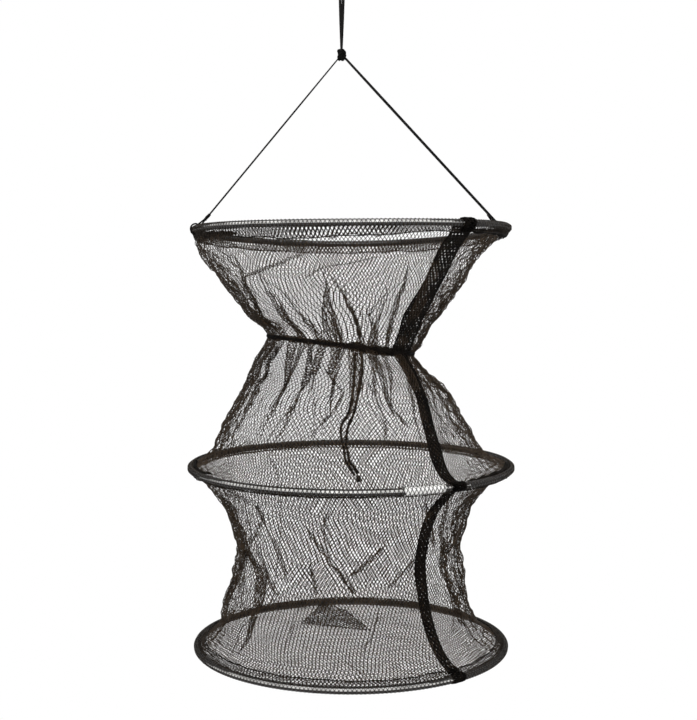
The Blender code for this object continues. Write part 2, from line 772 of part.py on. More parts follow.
def make_harness(collection):
    """Loop, apex knot, two legs, and at each side of the top hoop a tie with its knot."""
    make_hanging_loop(collection)
    apex = knot_mesh("apex_knot", APEX_KNOT, APEX_KNOT_HALF)
    add_object(collection, "apex_knot", apex, CORD_COLOR, CORD_ROUGHNESS)
    make_leg(collection, "harness_leg_left", TIE_KNOT_LEFT, 60.0, 85.0)
    make_leg(collection, "harness_leg_right", TIE_KNOT_RIGHT, 10.0, 0.0)
    ties = (("left", TIE_AZIMUTH_LEFT, TIE_KNOT_LEFT), ("right", TIE_AZIMUTH_RIGHT, TIE_KNOT_RIGHT))
    half = Vector((TIE_KNOT_RADIUS, TIE_KNOT_RADIUS, TIE_KNOT_RADIUS))
    for side, azimuth, knot in ties:
        cord = tube_curve("tie_loop_" + side, tie_route(TOP_HOOP, azimuth, knot), TIE_CORD_RADIUS)
        add_object(collection, "tie_loop_" + side, cord, CORD_COLOR, CORD_ROUGHNESS)
        mesh = knot_mesh("tie_knot_" + side, knot, half, knot - APEX_KNOT)
        add_object(collection, "tie_knot_" + side, mesh, CORD_COLOR, CORD_ROUGHNESS)


def main():
    """Build the whole keepnet."""
    clear_scene()
    collection = new_collection()
    make_harness(collection)
    hoops = (
        ("top", TOP_HOOP, TUBE_COLOR),
        ("middle", MIDDLE_HOOP, SLEEVE_COLOR),
        ("bottom", BOTTOM_HOOP, TUBE_COLOR),
    )
    for name, ring, sleeve_color in hoops:
        make_hoop_tube(collection, name + "_hoop_tube", ring)
        make_sleeve(collection, name + "_hoop_sleeve", ring, sleeve_color)
        make_hem(collection, name + "_hem", ring)
    for name, panel in (("upper", UPPER_PANEL), ("middle", MIDDLE_PANEL), ("lower", LOWER_PANEL)):
        make_panel(collection, name + "_net", panel)
        make_seam(collection, name + "_seam", panel)
    make_floor(collection, "floor_net")
    make_throat(collection)


main()
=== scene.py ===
"""The looks of a collapsible fishing keepnet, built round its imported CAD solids.

Three plastic hoops, a drawn throat, real diamond netting with its gathers and creases, a sewn seam down
one side, and a cord harness. All sizes are in millimetres until a mesh is placed, and the frame is the
CAD's: +Z up, the origin where the hanging loop bears, and the front of the net towards -Y. Azimuths are
in degrees from +X, turning towards +Y, so the front is at -90.
"""

import logging
import math
from collections.abc import Callable, Iterator, Sequence
from dataclasses import dataclass, field
from enum import Enum

import bmesh
import bpy
import numpy as np
from mathutils import Matrix, Vector


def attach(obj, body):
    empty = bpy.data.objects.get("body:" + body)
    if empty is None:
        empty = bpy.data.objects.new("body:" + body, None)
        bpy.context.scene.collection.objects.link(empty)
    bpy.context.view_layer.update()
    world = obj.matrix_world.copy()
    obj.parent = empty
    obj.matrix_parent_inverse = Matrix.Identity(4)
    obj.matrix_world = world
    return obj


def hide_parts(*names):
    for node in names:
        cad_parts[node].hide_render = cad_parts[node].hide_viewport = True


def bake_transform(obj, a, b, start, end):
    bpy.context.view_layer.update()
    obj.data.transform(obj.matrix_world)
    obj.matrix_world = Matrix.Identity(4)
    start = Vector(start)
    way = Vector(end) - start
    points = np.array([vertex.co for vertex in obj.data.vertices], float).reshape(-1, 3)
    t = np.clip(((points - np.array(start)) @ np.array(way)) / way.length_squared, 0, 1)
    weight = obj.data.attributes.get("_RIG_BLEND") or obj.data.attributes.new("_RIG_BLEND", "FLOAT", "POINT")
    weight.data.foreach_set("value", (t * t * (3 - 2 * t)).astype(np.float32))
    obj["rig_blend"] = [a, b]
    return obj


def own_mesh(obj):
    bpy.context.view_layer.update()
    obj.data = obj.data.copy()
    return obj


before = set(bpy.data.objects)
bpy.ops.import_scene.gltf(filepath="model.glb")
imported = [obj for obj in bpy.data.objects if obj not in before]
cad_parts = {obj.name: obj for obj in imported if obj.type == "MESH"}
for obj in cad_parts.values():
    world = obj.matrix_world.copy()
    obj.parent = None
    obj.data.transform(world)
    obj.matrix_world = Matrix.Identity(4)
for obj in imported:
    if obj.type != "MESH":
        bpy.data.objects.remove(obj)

log = logging.getLogger("keepnet")
MM = 0.001
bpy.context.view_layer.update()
HOOP_AXIS_X = 9.0
CELLS_ROUND = 248
STRAND = 0.64
STRAND_DEPTH = 0.5
PLIES = 3
PLY_SHARE = 0.56
CURVE_PARTS = 12

Place = Callable[[np.ndarray], np.ndarray]
Amounts = np.ndarray | float
Pair = tuple[float, float]
Table = tuple[Pair, ...]


class Body(str, Enum):
    """The CAD bodies that pieces ride on."""

    HARNESS = "harness"
    TOP = "top_hoop"
    THROAT = "throat"
    MIDDLE = "middle_hoop"
    BOTTOM = "bottom_hoop"


class Slot(str, Enum):
    """The record's material slots."""

    NETTING = "netting"
    HOOP = "hoop_plastic"
    SLEEVE = "sleeve_plastic"
    HARNESS = "harness_cord"
    DRAW = "draw_cord"


# Curves and unevenness


def spot(*place: float) -> Vector:
    """A place or a size as a dataclass default."""
    return field(default_factory=lambda: Vector(place))


def between(places: np.ndarray, table: Table) -> np.ndarray:
    """Values read smoothly from a table.

    Args:
        places: Where to read.
        table: Rows of place and value, in rising order of place.

    Returns:
        One value for each place, on a monotone curve through the rows.
    """
    xs, ys = np.array(table, float).T
    if len(xs) < 3:
        return np.interp(places, xs, ys)
    slopes = np.diff(ys) / np.diff(xs)
    same_way = slopes[:-1] * slopes[1:] > 0
    mean = 2 * slopes[:-1] * slopes[1:] / np.where(same_way, slopes[:-1] + slopes[1:], 1.0)
    tangents = np.concatenate([slopes[:1], np.where(same_way, mean, 0.0), slopes[-1:]])
    inside = np.clip(places, xs[0], xs[-1])
    index = np.clip(np.searchsorted(xs, inside) - 1, 0, len(xs) - 2)
    step = xs[index + 1] - xs[index]
    t = (inside - xs[index]) / step
    start = ys[index] * (1 + 2 * t) * (1 - t) ** 2 + tangents[index] * step * t * (1 - t) ** 2
    end = ys[index + 1] * t * t * (3 - 2 * t) + tangents[index + 1] * step * t * t * (t - 1)
    return start + end


def smooth_step(share: Amounts) -> Amounts:
    """A ramp from 0 to 1 with soft ends, for shares from 0 to 1."""
    t = np.clip(share, 0.0, 1.0)
    return t * t * (3 - 2 * t)


def unit(rows: np.ndarray) -> np.ndarray:
    """Rows brought to a length of one."""
    return rows / np.maximum(np.linalg.norm(rows, axis=1), 1e-9)[:, None]


def distances(line: np.ndarray) -> np.ndarray:
    """How far along a line each of its points lies."""
    return np.concatenate([[0.0], np.cumsum(np.linalg.norm(np.diff(line, axis=0), axis=1))])


@dataclass(frozen=True)
class Wobble:
    """Smooth seeded unevenness: a sum of waves that run in many directions."""

    seed: int
    wavelength: float
    height: float
    waves: int = 12
    pitches: Pair = (0.6, 1.6)

    def at(self, points: np.ndarray) -> np.ndarray:
        """The unevenness at points.

        Args:
            points: The points, one row each.

        Returns:
            One height for each point.
        """
        rng = np.random.default_rng(self.seed)
        ways = rng.normal(size=(self.waves, points.shape[1]))
        ways /= np.linalg.norm(ways, axis=1)[:, None]
        pitch = math.tau / self.wavelength * rng.uniform(*self.pitches, self.waves)
        phases = rng.uniform(0, math.tau, self.waves)
        waves = np.sin(points @ (ways * pitch[:, None]).T + phases)
        return self.height * math.sqrt(2 / self.waves) * waves.sum(axis=1)


def smooth_route(points: Sequence[Vector], spacing: float) -> list[Vector]:
    """Points at an even spacing on a Catmull-Rom curve.

    Args:
        points: The points that the curve passes.
        spacing: The distance wanted between the points returned.

    Returns:
        The evenly spaced points, with the same two ends.
    """
    fine = []
    last = len(points) - 1
    for index in range(last):
        before, start = points[max(index - 1, 0)], points[index]
        end, after = points[index + 1], points[min(index + 2, last)]
        for part in range(CURVE_PARTS):
            t = part / CURVE_PARTS
            first = 2 * start + (end - before) * t
            second = (2 * before - 5 * start + 4 * end - after) * t * t
            third = (3 * start - before - 3 * end + after) * t * t * t
            fine.append((first + second + third) * 0.5)
    line = np.array([tuple(point) for point in (*fine, points[-1])])
    run = distances(line)
    wanted = np.linspace(0.0, run[-1], max(2, round(run[-1] / spacing)) + 1)
    return [Vector(row) for row in np.stack([np.interp(wanted, run, line[:, k]) for k in range(3)], axis=1)]


def flat_route(places: Sequence[Sequence[float]], spacing: float) -> np.ndarray:
    """Evenly spaced places on a smooth line through flat ones."""
    return np.array([point[:2] for point in smooth_route([Vector((*row, 0.0)) for row in places], spacing)])


def walk(route: Sequence[Vector]) -> Iterator[tuple[Vector, Vector, float]]:
    """Go along a route.

    Args:
        route: Its points.

    Yields:
        Each point, the way the route runs there, and how far along it lies.
    """
    run = 0.0
    for index, point in enumerate(route):
        run += (point - route[index - 1]).length if index else 0.0
        yield point, (route[min(index + 1, len(route) - 1)] - route[max(index - 1, 0)]).normalized(), run


# Finishes


class Nodes:
    """The node tree of a material or a world, built a node at a time."""

    def __init__(self, owner: bpy.types.ID, shader: str) -> None:
        """Open the nodes.

        Args:
            owner: The material or the world.
            shader: The name of its shader's node.
        """
        owner.use_nodes = True
        self.tree = owner.node_tree
        self.shader = self.tree.nodes[shader]

    def add(self, kind: str, **values: object) -> bpy.types.Node:
        """Add a node.

        Args:
            kind: The node's type.
            values: Its settings by name, or a linked socket or a number for an input of that name.

        Returns:
            The new node.
        """
        node = self.tree.nodes.new(kind)
        for key, value in values.items():
            label = key.replace("_", " ")
            if isinstance(value, bpy.types.NodeSocket):
                self.tree.links.new(value, node.inputs[label])
            elif label in node.inputs and not hasattr(node, key):
                node.inputs[label].default_value = value
            else:
                setattr(node, key, value)
        return node

    def feed(self, socket: bpy.types.NodeSocket, name: str) -> None:
        """Link a socket to the shader's input of a name."""
        self.tree.links.new(socket, self.shader.inputs[name])

    def noise(self, scale: float, detail: float = 2.0) -> bpy.types.NodeSocket:
        """Noise on the piece's own coordinates, with its features to the metre and its finer octaves."""
        own = self.add("ShaderNodeTexCoord").outputs["Object"]
        return self.add("ShaderNodeTexNoise", Vector=own, Scale=scale, Detail=detail).outputs["Fac"]

    def span(self, value: bpy.types.NodeSocket, low: float, high: float) -> bpy.types.NodeSocket:
        """A value from 0 to 1 spread from low to high."""
        return self.add("ShaderNodeMapRange", Value=value, To_Min=low, To_Max=high).outputs["Result"]

    def ramp(self, value: bpy.types.NodeSocket, stops: Sequence[tuple[float, tuple]]) -> bpy.types.NodeSocket:
        """Colours read from a value.

        Args:
            value: The value's socket.
            stops: Two rows of place and colour.

        Returns:
            The colour's socket.
        """
        node = self.add("ShaderNodeValToRGB", Fac=value)
        for element, (place, colour) in zip(node.color_ramp.elements, stops):
            element.position = place
            element.color = (*colour, 1.0)
        return node.outputs["Color"]


@dataclass(frozen=True)
class Finish:
    """A finish: two shades that mingle, roughness from smoothest to roughest, gloss and a fine relief."""

    name: str
    dark: tuple[float, float, float]
    light: tuple[float, float, float]
    patch_scale: float
    smoothest: float
    roughest: float
    relief_scale: float
    relief: float
    specular: float = 0.5

    def make(self) -> bpy.types.Material:
        """Build the material, or find it if it is there.

        Returns:
            The material.
        """
        found = bpy.data.materials.get(self.name)
        if found:
            return found
        material = bpy.data.materials.new(self.name)
        nodes = Nodes(material, "Principled BSDF")
        patches = nodes.noise(self.patch_scale, 3.0)
        nodes.feed(nodes.ramp(patches, ((0.36, self.dark), (0.66, self.light))), "Base Color")
        grain = nodes.noise(self.relief_scale)
        nodes.feed(nodes.span(grain, self.smoothest, self.roughest), "Roughness")
        bump = nodes.add("ShaderNodeBump", Height=grain, Distance=self.relief * MM, Strength=1.0)
        nodes.feed(bump.outputs["Normal"], "Normal")
        nodes.shader.inputs["Specular IOR Level"].default_value = self.specular
        return material


NET_FINISH = Finish(
    "knotless_nylon", (0.012, 0.0076, 0.0042), (0.044, 0.0285, 0.016), 260, 0.45, 0.7, 2600, 0.05, 0.12
)
# The netting darkened as painted shade, for its dense rolled, sewn and doubled layers; the hem thread takes it too.
SHADED_NET_FINISH = Finish(
    "netting_painted_shade", (0.0022, 0.0017, 0.0013), (0.0085, 0.0066, 0.0051), 90, 0.6, 0.85, 2600, 0.05, 0.05
)
# The netting darkened as painted shade, for the hem doubled round the dark hoops.
HEM_SHADE_FINISH = Finish(
    "hem_netting_painted_shade", (0.007, 0.0052, 0.0038), (0.025, 0.0185, 0.013), 180, 0.5, 0.75, 2600, 0.05, 0.12
)
TUBE_FINISH = Finish("black_hoop_tube", (0.002,) * 3, (0.005,) * 3, 40, 0.22, 0.32, 900, 0.02, 0.55)
# A pale, shiny copy of the black tube plastic: a painted highlight, the lamp's glint on the hoops' fronts.
PAINTED_HIGHLIGHT_FINISH = Finish("hoop_tube_painted_highlight", (0.3, 0.295, 0.285), (0.58, 0.575, 0.56), 55, 0.2, 0.3, 900, 0.02, 0.8)
SLEEVE_FINISH = Finish("white_sleeve_plastic", (0.74, 0.735, 0.72), (0.84, 0.835, 0.82), 50, 0.3, 0.42, 700, 0.02)
CORD_FINISH = Finish(
    "black_braided_cord", (0.0012, 0.0011, 0.001), (0.0045, 0.0042, 0.0038), 300, 0.6, 0.85, 3000, 0.06, 0.05
)
TAPE_FINISH = Finish(
    "black_flat_braid", (0.0015, 0.0014, 0.0013), (0.006, 0.0057, 0.0054), 260, 0.5, 0.75, 3000, 0.05, 0.1
)


# Shared ways of making a piece


def linked(name: str, data: bpy.types.ID) -> bpy.types.Object:
    """Add an object to the scene, at the origin.

    Args:
        name: Its name.
        data: Its mesh, curve, lamp or camera.

    Returns:
        The object.
    """
    item = bpy.data.objects.new(name, data)
    bpy.context.scene.collection.objects.link(item)
    return item


def piece(name: str, shape: bmesh.types.BMesh) -> bpy.types.Object:
    """Make a shape into a smooth piece.

    Args:
        name: The piece's name.
        shape: Its shape in metres, which is freed.

    Returns:
        The piece.
    """
    mesh = bpy.data.meshes.new(name)
    shape.to_mesh(mesh)
    shape.free()
    mesh.shade_smooth()
    return linked(name, mesh)


def fit(
    item: bpy.types.Object, finish: Finish, slot: Slot, body: Body | None = None, node: str = ""
) -> bpy.types.Object:
    """Dress a piece, put it on its body and let it stand for its CAD node.

    Args:
        item: The piece.
        finish: Its finish.
        slot: The record's slot; not used.
        body: The body that it rides on, unless it folds between two.
        node: The CAD node that it stands for, if it stands for one.

    Returns:
        The piece.
    """
    item.data.materials.clear()
    item.data.materials.append(finish.make())
    if body:
        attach(item, body.value)
    if node:
        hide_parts(node)
    log.info("%s: %d faces", item.name, len(item.data.polygons))
    return item


def tubes(name: str, routes: Sequence[Sequence[Vector]], radius: float, closed: bool = False) -> bpy.types.Object:
    """Round strands along routes, as one mesh with six faces round each strand.

    Args:
        name: The piece's name.
        routes: The points of each strand.
        radius: The strands' radius.
        closed: Whether each strand joins its own start.

    Returns:
        The piece.
    """
    curve = bpy.data.curves.new(name + "_route", "CURVE")
    curve.dimensions = "3D"
    curve.bevel_depth = radius * MM
    curve.bevel_resolution = 1
    curve.use_fill_caps = not closed
    for route in routes:
        spline = curve.splines.new("POLY")
        spline.points.add(len(route) - 1)
        for target, point in zip(spline.points, route):
            target.co = (point.x * MM, point.y * MM, point.z * MM, 1.0)
        spline.use_smooth = True
        spline.use_cyclic_u = closed
    source = linked(name + "_route", curve)
    mesh = bpy.data.meshes.new_from_object(source.evaluated_get(bpy.context.evaluated_depsgraph_get()))
    bpy.data.objects.remove(source)
    bpy.data.curves.remove(curve)
    mesh.name = name
    mesh.shade_smooth()
    return linked(name, mesh)


def laid(route: Sequence[Vector], radius: float, pitch: float) -> list[list[Vector]]:
    """The strands of a laid cord.

    Args:
        route: The cord's own line.
        radius: The cord's radius.
        pitch: The length of one turn.

    Returns:
        Each strand's points.
    """
    offset = radius - radius * PLY_SHARE
    side = None
    turned = [[] for _ in range(PLIES)]
    for point, along, run in walk(route):
        side = along.orthogonal().normalized() if side is None else side
        side = (side - along * side.dot(along)).normalized()
        across = along.cross(side)
        for ply, strand in enumerate(turned):
            angle = math.tau * (run / pitch + ply / PLIES)
            strand.append(point + (side * math.cos(angle) + across * math.sin(angle)) * offset)
    return turned


def rope(name: str, route: Sequence[Vector], radius: float, pitch: float) -> bpy.types.Object:
    """A laid cord along a route, with the length of one of its turns."""
    return tubes(name, laid(route, radius, pitch), radius * PLY_SHARE)


def cut(cells: bmesh.types.BMesh, place: Sequence[float], way: Sequence[float]) -> None:
    """Cut a flat lattice along a line.

    Args:
        cells: The lattice.
        place: A place on the line.
        way: Across the line, towards what is dropped.
    """
    everything = cells.verts[:] + cells.edges[:] + cells.faces[:]
    plane = {"plane_co": (*place, 0.0), "plane_no": (*way, 0.0)}
    bmesh.ops.bisect_plane(cells, geom=everything, **plane, clear_outer=True, dist=1e-4)


def lattice(columns: float, rows: float) -> bmesh.types.BMesh:
    """Diamond meshes one unit wide and one unit high, cut to a rectangle from the origin.

    Args:
        columns: The rectangle's width in meshes.
        rows: Its height in meshes.

    Returns:
        The flat lattice.
    """
    cells = bmesh.new()
    count = math.ceil(columns + rows) + 2
    count += count % 2
    bmesh.ops.create_grid(cells, x_segments=count, y_segments=count, size=count / 2)
    bmesh.ops.rotate(cells, verts=cells.verts, cent=(0, 0, 0), matrix=Matrix.Rotation(math.pi / 4, 3, "Z"))
    bmesh.ops.scale(cells, verts=cells.verts, vec=(math.sqrt(0.5), math.sqrt(0.5), 1.0))
    bmesh.ops.translate(cells, verts=cells.verts, vec=(round(columns / 2), round(rows / 2), 0.0))
    for place, way in (((0, 0), (-1, 0)), ((columns, 0), (1, 0)), ((0, 0), (0, -1)), ((0, rows), (0, 1))):
        cut(cells, place, way)
    return cells


NEAR = 0.04
KEPT_WIDTH = 0.65


def knit(
    name: str, cells: bmesh.types.BMesh, cell: Pair, place: Place, strand: float = STRAND, depth: float = STRAND_DEPTH
) -> bpy.types.Object:
    """Netting: every edge of a flat lattice becomes a strand, and the strands are then put in place.

    Where the netting is drawn together, its strands keep part of their width.

    Args:
        name: The piece's name.
        cells: The flat lattice, in meshes, which is freed.
        cell: A mesh's width and height in the slack netting.
        place: Gives the points for flat places in meshes.
        strand: The strands' width.
        depth: The strands' depth through the netting.

    Returns:
        The netting.
    """
    bmesh.ops.scale(cells, verts=cells.verts, vec=(*cell, 1.0))
    bmesh.ops.wireframe(
        cells, faces=cells.faces[:], thickness=strand, offset=0.0, use_replace=True,
        use_boundary=True, use_even_offset=True,
    )
    flat = np.array([vert.co[:] for vert in cells.verts])
    at = flat[:, :2] / cell
    ties, tie_of = np.unique(np.round(at * 2), axis=0, return_inverse=True)
    ties, tie_of = ties / 2, tie_of.ravel()
    points = place(ties)
    round_way, down_way = ((place(ties + way) - points) / NEAR for way in ((NEAR, 0.0), (0.0, NEAR)))
    drawn = np.maximum(np.linalg.norm(round_way, axis=1) / cell[0], 0.08)
    away = at - ties[tie_of]
    away[:, 0] *= np.clip(drawn**-KEPT_WIDTH, 0.8, 2.6)[tie_of]
    moved = points[tie_of] + round_way[tie_of] * away[:, :1] + down_way[tie_of] * away[:, 1:]
    moved += unit(np.cross(down_way, round_way))[tie_of] * flat[:, 2:] * (depth / strand)
    for vert, point in zip(cells.verts, moved * MM):
        vert.co = point
    return piece(name, cells)


# The rings that everything hangs on


@dataclass(frozen=True)
class Ring:
    """A hoop or the throat, with its lean and the saddle warp where the ties lift it.

    body is what it moves with, and node the CAD node that runs along it and holds the netting.
    """

    radius: float
    height: float
    body: Body
    node: str
    centre_x: float = HOOP_AXIS_X
    lean_x: float = 0.0
    lean_y: float = 0.0
    warp: float = 0.0
    joint_azimuth: float = 0.0

    def rise(self, azimuth: Amounts) -> Amounts:
        """Height of the centreline.

        Args:
            azimuth: Azimuths in degrees.

        Returns:
            One height for each.
        """
        angle = np.radians(azimuth)
        tilt = self.radius * (self.lean_x * np.cos(angle) + self.lean_y * np.sin(angle))
        return self.height + tilt + self.warp * np.cos(2 * angle)

    def points(self, azimuth: np.ndarray, across: Amounts = 0.0, up: Amounts = 0.0) -> np.ndarray:
        """Points beside the centreline.

        Args:
            azimuth: Azimuths in degrees.
            across: How far outwards.
            up: How far up.

        Returns:
            The points, one row each.
        """
        angle = np.radians(azimuth)
        reach = self.radius + across
        rise = self.rise(azimuth) + up
        return np.stack([self.centre_x + reach * np.cos(angle), reach * np.sin(angle), rise], axis=1)

    def point(self, azimuth: float, across: float = 0.0) -> Vector:
        """One point on the centreline or outwards of it."""
        return Vector(self.points(np.array([azimuth]), across)[0])


TOP_HOOP = Ring(155.0, -256.7, Body.TOP, "top_hoop_tube", lean_x=0.008, lean_y=-0.053, warp=2.0, joint_azimuth=115.0)
THROAT = Ring(72.0, -369.0, Body.THROAT, "throat_drawstring", centre_x=-1.5, lean_x=-0.126, lean_y=-0.068)
MIDDLE_HOOP = Ring(160.0, -489.8, Body.MIDDLE, "middle_hoop_tube", joint_azimuth=-65.5)
BOTTOM_HOOP = Ring(155.2, -670.7, Body.BOTTOM, "bottom_hoop_tube", joint_azimuth=115.0)


@dataclass(frozen=True)
class Roll:
    """Spare netting rolled up along a ring, in a spiral that thins out at both ends.

    span holds the azimuths of its two ends, thick its radius at each, and middle where it lies beside the
    ring, as across and up.
    """

    name: str
    ring: Ring
    span: Pair
    thick: Pair
    middle: Pair
    cell: float = 3.4
    turns: int = 2
    twist: float = 9.0
    thin_rows: float = 3.0
    drawn_in: float = 0.45
    strand: float = 0.9

    def build(self) -> None:
        """Knit the roll and put it on the ring's body."""
        first, last = self.span
        columns = math.ceil(self.turns * math.tau * max(self.thick) / self.cell)
        rows = math.ceil(self.ring.radius * math.radians(last - first) / self.cell)

        def placed(cells: np.ndarray) -> np.ndarray:
            """Points on the spiral.

            Args:
                cells: Flat places in meshes.

            Returns:
                The points.
            """
            inward, share = cells[:, 0] / columns, np.clip(cells[:, 1] / rows, 0.0, 1.0)
            azimuth = first + (last - first) * share
            where = self.ring.points(azimuth)
            turn = self.turns * math.tau * inward + share * self.twist
            ends = np.clip(np.minimum(share, 1 - share) * rows / self.thin_rows, 0.1, 1.0)
            full = (self.thick[0] + (self.thick[1] - self.thick[0]) * share) * np.sqrt(ends)
            reach = full * (1.0 - self.drawn_in * inward) * (1 + Wobble(84, 16.0, 0.13).at(where))
            across = self.middle[0] + Wobble(85, 30.0, 0.4).at(where) + reach * np.cos(turn)
            up = self.middle[1] + Wobble(86, 24.0, 0.5).at(where) + reach * np.sin(turn)
            return self.ring.points(azimuth, across, up)

        item = knit(self.name, lattice(columns, rows), (self.cell, self.cell), placed, self.strand)
        # Painted shade: the roll takes the darkened netting finish.
        fit(item, SHADED_NET_FINISH, Slot.NETTING, self.ring.body)


# Netting panels


@dataclass(frozen=True)
class Pleat:
    """A fold where the netting doubles back on itself down a line.

    path holds fractions down the panel and azimuths, share says how much of the spare width it takes at
    fractions down the panel, and lift is how far its layers part.
    """

    path: Table
    share: Table
    lift: float = 2.2


@dataclass(frozen=True)
class Crease:
    """A short pinched line in the netting.

    path holds azimuths and fractions down the panel, or places on the floor. pull is how far each side is
    drawn over the other, lift how far they part, and narrow and wide where the pull starts and ends.
    """

    path: Table
    pull: float = 4.5
    lift: float = 2.4
    narrow: float = 2.4
    wide: float = 13.0
    stronger: float = 1.6
    fade: float = 0.2
    reach: float = 14.0

    def moves(self, places: np.ndarray, route: np.ndarray) -> np.ndarray:
        """What the crease does to netting laid flat.

        Args:
            places: Flat places of the netting.
            route: The crease's line on it.

        Returns:
            For each place, the moves along the two flat ways and outwards.
        """
        best = np.full(len(places), 1e9)
        signed, share, normal = np.zeros(len(places)), np.zeros(len(places)), np.zeros_like(places)
        for index, (start, end) in enumerate(zip(route, route[1:])):
            run = end - start
            t = np.clip(((places - start) @ run) / (run @ run), 0.0, 1.0)
            away = places - (start + t[:, None] * run)
            far = np.linalg.norm(away, axis=1)
            side = np.array([-run[1], run[0]]) / np.linalg.norm(run)
            nearer = far < best
            best = np.where(nearer, far, best)
            signed = np.where(nearer, far * np.sign(away @ side), signed)
            share = np.where(nearer, (index + t) / (len(route) - 1), share)
            normal = np.where(nearer[:, None], side, normal)
        strength = smooth_step(share / self.fade) * smooth_step((1 - share) / self.fade)
        sides = np.tanh(signed / self.narrow)
        draw = self.stronger * self.pull * strength * (sides - np.tanh(signed / self.wide))
        out = self.lift / 2 * strength * sides * np.exp(-((signed / self.reach) ** 2))
        return np.column_stack([-normal * draw[:, None], out])


@dataclass(frozen=True)
class Panel:
    """A stretch of the netting tube between two rings, knitted in one or more pieces.

    left and right give the outline, as rows of fraction down the panel and distance from the hoops' axis.
    seam gives the seam's azimuths, extra how much slack netting there is, folds the heights between which
    the panel bends from the upper body to the lower, and crumple the crumples' height at its two sides.
    """

    part: str
    upper: Ring
    lower: Ring
    folds: Pair
    left: Table
    right: Table
    seam: Table
    rows: int
    free_cell: float
    pleats: tuple[Pleat, ...]
    creases: tuple[Crease, ...]
    seed: int
    pieces: int = 1
    strand: float = STRAND
    extra: Table = ((0.0, 1.0), (1.0, 1.0))
    crumple: float = 0.8
    sides: Pair = (0.68, 0.9)
    edge: float = 0.1
    edge_pleat: float = 0.25
    step: Pair = (0.2, 0.002)
    pleat_fold: float = 0.75
    pleat_sharp: float = 2.4
    pleat_full: float = 12.0

    def base(self, azimuth: np.ndarray, down: np.ndarray) -> np.ndarray:
        """Points on the panel's smooth surface.

        Args:
            azimuth: Azimuths in degrees.
            down: Fractions down the panel.

        Returns:
            The points.
        """
        angle = np.radians(azimuth)
        rightness = (1 + np.cos(angle)) / 2
        reach = between(down, self.left) * (1 - rightness) + between(down, self.right) * rightness
        top, bottom = self.upper.rise(azimuth), self.lower.rise(azimuth)
        x = HOOP_AXIS_X + reach * np.cos(angle)
        return np.stack([x, reach * np.sin(angle), top + (bottom - top) * down], axis=1)

    def radius(self, down: np.ndarray) -> np.ndarray:
        """The panel's mean radius at fractions down it."""
        return (between(down, self.left) + between(down, self.right)) / 2

    def slant(self) -> float:
        """The panel's length down its middle."""
        line = self.base(np.full(40, -90.0), np.linspace(0.0, 1.0, 40))
        return float(np.linalg.norm(np.diff(line, axis=0), axis=1).sum())

    def gather(self, share: np.ndarray, down: np.ndarray) -> tuple[np.ndarray, np.ndarray]:
        """Where the pleats put the netting.

        Args:
            share: Shares of the way round the netting, from its seam edge.
            down: Fractions down the panel.

        Returns:
            Azimuths in degrees, and how far the netting stands out.
        """
        seam = between(down, self.seam)
        girth = math.tau * self.radius(down)
        spare = np.maximum(0.0, CELLS_ROUND * self.free_cell * between(down, self.extra) / girth - 1.0)
        weights = np.stack([between(down, pleat.share) for pleat in self.pleats], axis=1)
        weights *= (spare / np.maximum(weights.sum(axis=1), 1e-6))[:, None]
        total = weights.sum(axis=1)
        azimuths = np.stack([between(down, pleat.path) for pleat in self.pleats], axis=1)
        turn = ((azimuths - seam[:, None]) % 360.0) / 360.0
        before = (weights[:, None, :] * (turn[:, None, :] < turn[:, :, None])).sum(axis=2)
        centres = (turn + before + weights / 2) / (1 + total)[:, None]
        widths = np.maximum(weights / (1 + total)[:, None] * self.pleat_fold, 1e-5)
        offset = (share[:, None] - centres) / widths
        drawn = share * (1 + total) - (weights * smooth_step(offset + 0.5)).sum(axis=1)
        lifts = np.array([pleat.lift for pleat in self.pleats])
        depth = np.minimum(1.0, weights * girth[:, None] / self.pleat_full)
        sharp = self.pleat_sharp
        out = np.tanh(sharp * offset) * np.exp(-((offset / sharp) ** 2)) * lifts * depth
        return seam + 360.0 * drawn, out.sum(axis=1)

    def pinch(self, crease: Crease, azimuth: np.ndarray, down: np.ndarray) -> np.ndarray:
        """What a crease does to the netting round it.

        Args:
            crease: The crease.
            azimuth: Azimuths of the netting.
            down: Its fractions down the panel.

        Returns:
            For each place, the move round, down and outwards.
        """
        middle = crease.path[len(crease.path) // 2][0]
        long = self.slant()

        def flat(turns: np.ndarray, fractions: np.ndarray) -> np.ndarray:
            """Places on the panel laid flat, round and down."""
            nearest = (turns - middle + 180.0) % 360.0 - 180.0
            return np.stack([self.radius(fractions) * np.radians(nearest), fractions * long], axis=1)

        return crease.moves(flat(azimuth, down), flat_route(flat(*np.array(crease.path).T), 6.0))

    def place(self, cells: np.ndarray) -> np.ndarray:
        """Points of the netting, with its pleats, creases and unevenness.

        Args:
            cells: Flat places in meshes, round and down.

        Returns:
            The points.
        """
        share, down = cells[:, 0] / CELLS_ROUND, cells[:, 1] / self.rows
        azimuth, out = self.gather(share, down)
        smooth = self.base(azimuth, down)
        low, high = self.sides
        sides = smooth_step((np.abs(np.cos(np.radians(azimuth))) - low) / (high - low))
        move = np.zeros_like(smooth)
        for crease in self.creases:
            move += self.pinch(crease, azimuth, down)
        everywhere = ((0, 38.0, 0.45), (1, 34.0, 0.4), (2, 50.0, 0.75), (2, 18.0, 0.22))
        for index, (way, wavelength, height) in enumerate(everywhere):
            move[:, way] += Wobble(self.seed + index, wavelength, height).at(smooth)
        for index, way, wavelength in ((4, 0, 11.0), (5, 2, 13.0)):
            move[:, way] += sides * Wobble(self.seed + index, wavelength, self.crumple).at(smooth)
        ease = np.minimum(1.0, np.minimum(down, 1 - down) / self.edge)
        move *= ease[:, None]
        move[:, 2] += out * np.minimum(1.0, self.edge_pleat + ease)
        turn, fall = self.step
        round_way = unit(self.base(azimuth + turn, down) - smooth)
        down_way = unit(self.base(azimuth, down + fall) - self.base(azimuth, down - fall))
        outward = unit(np.cross(down_way, round_way))
        return smooth + round_way * move[:, :1] + down_way * move[:, 1:2] + outward * move[:, 2:]

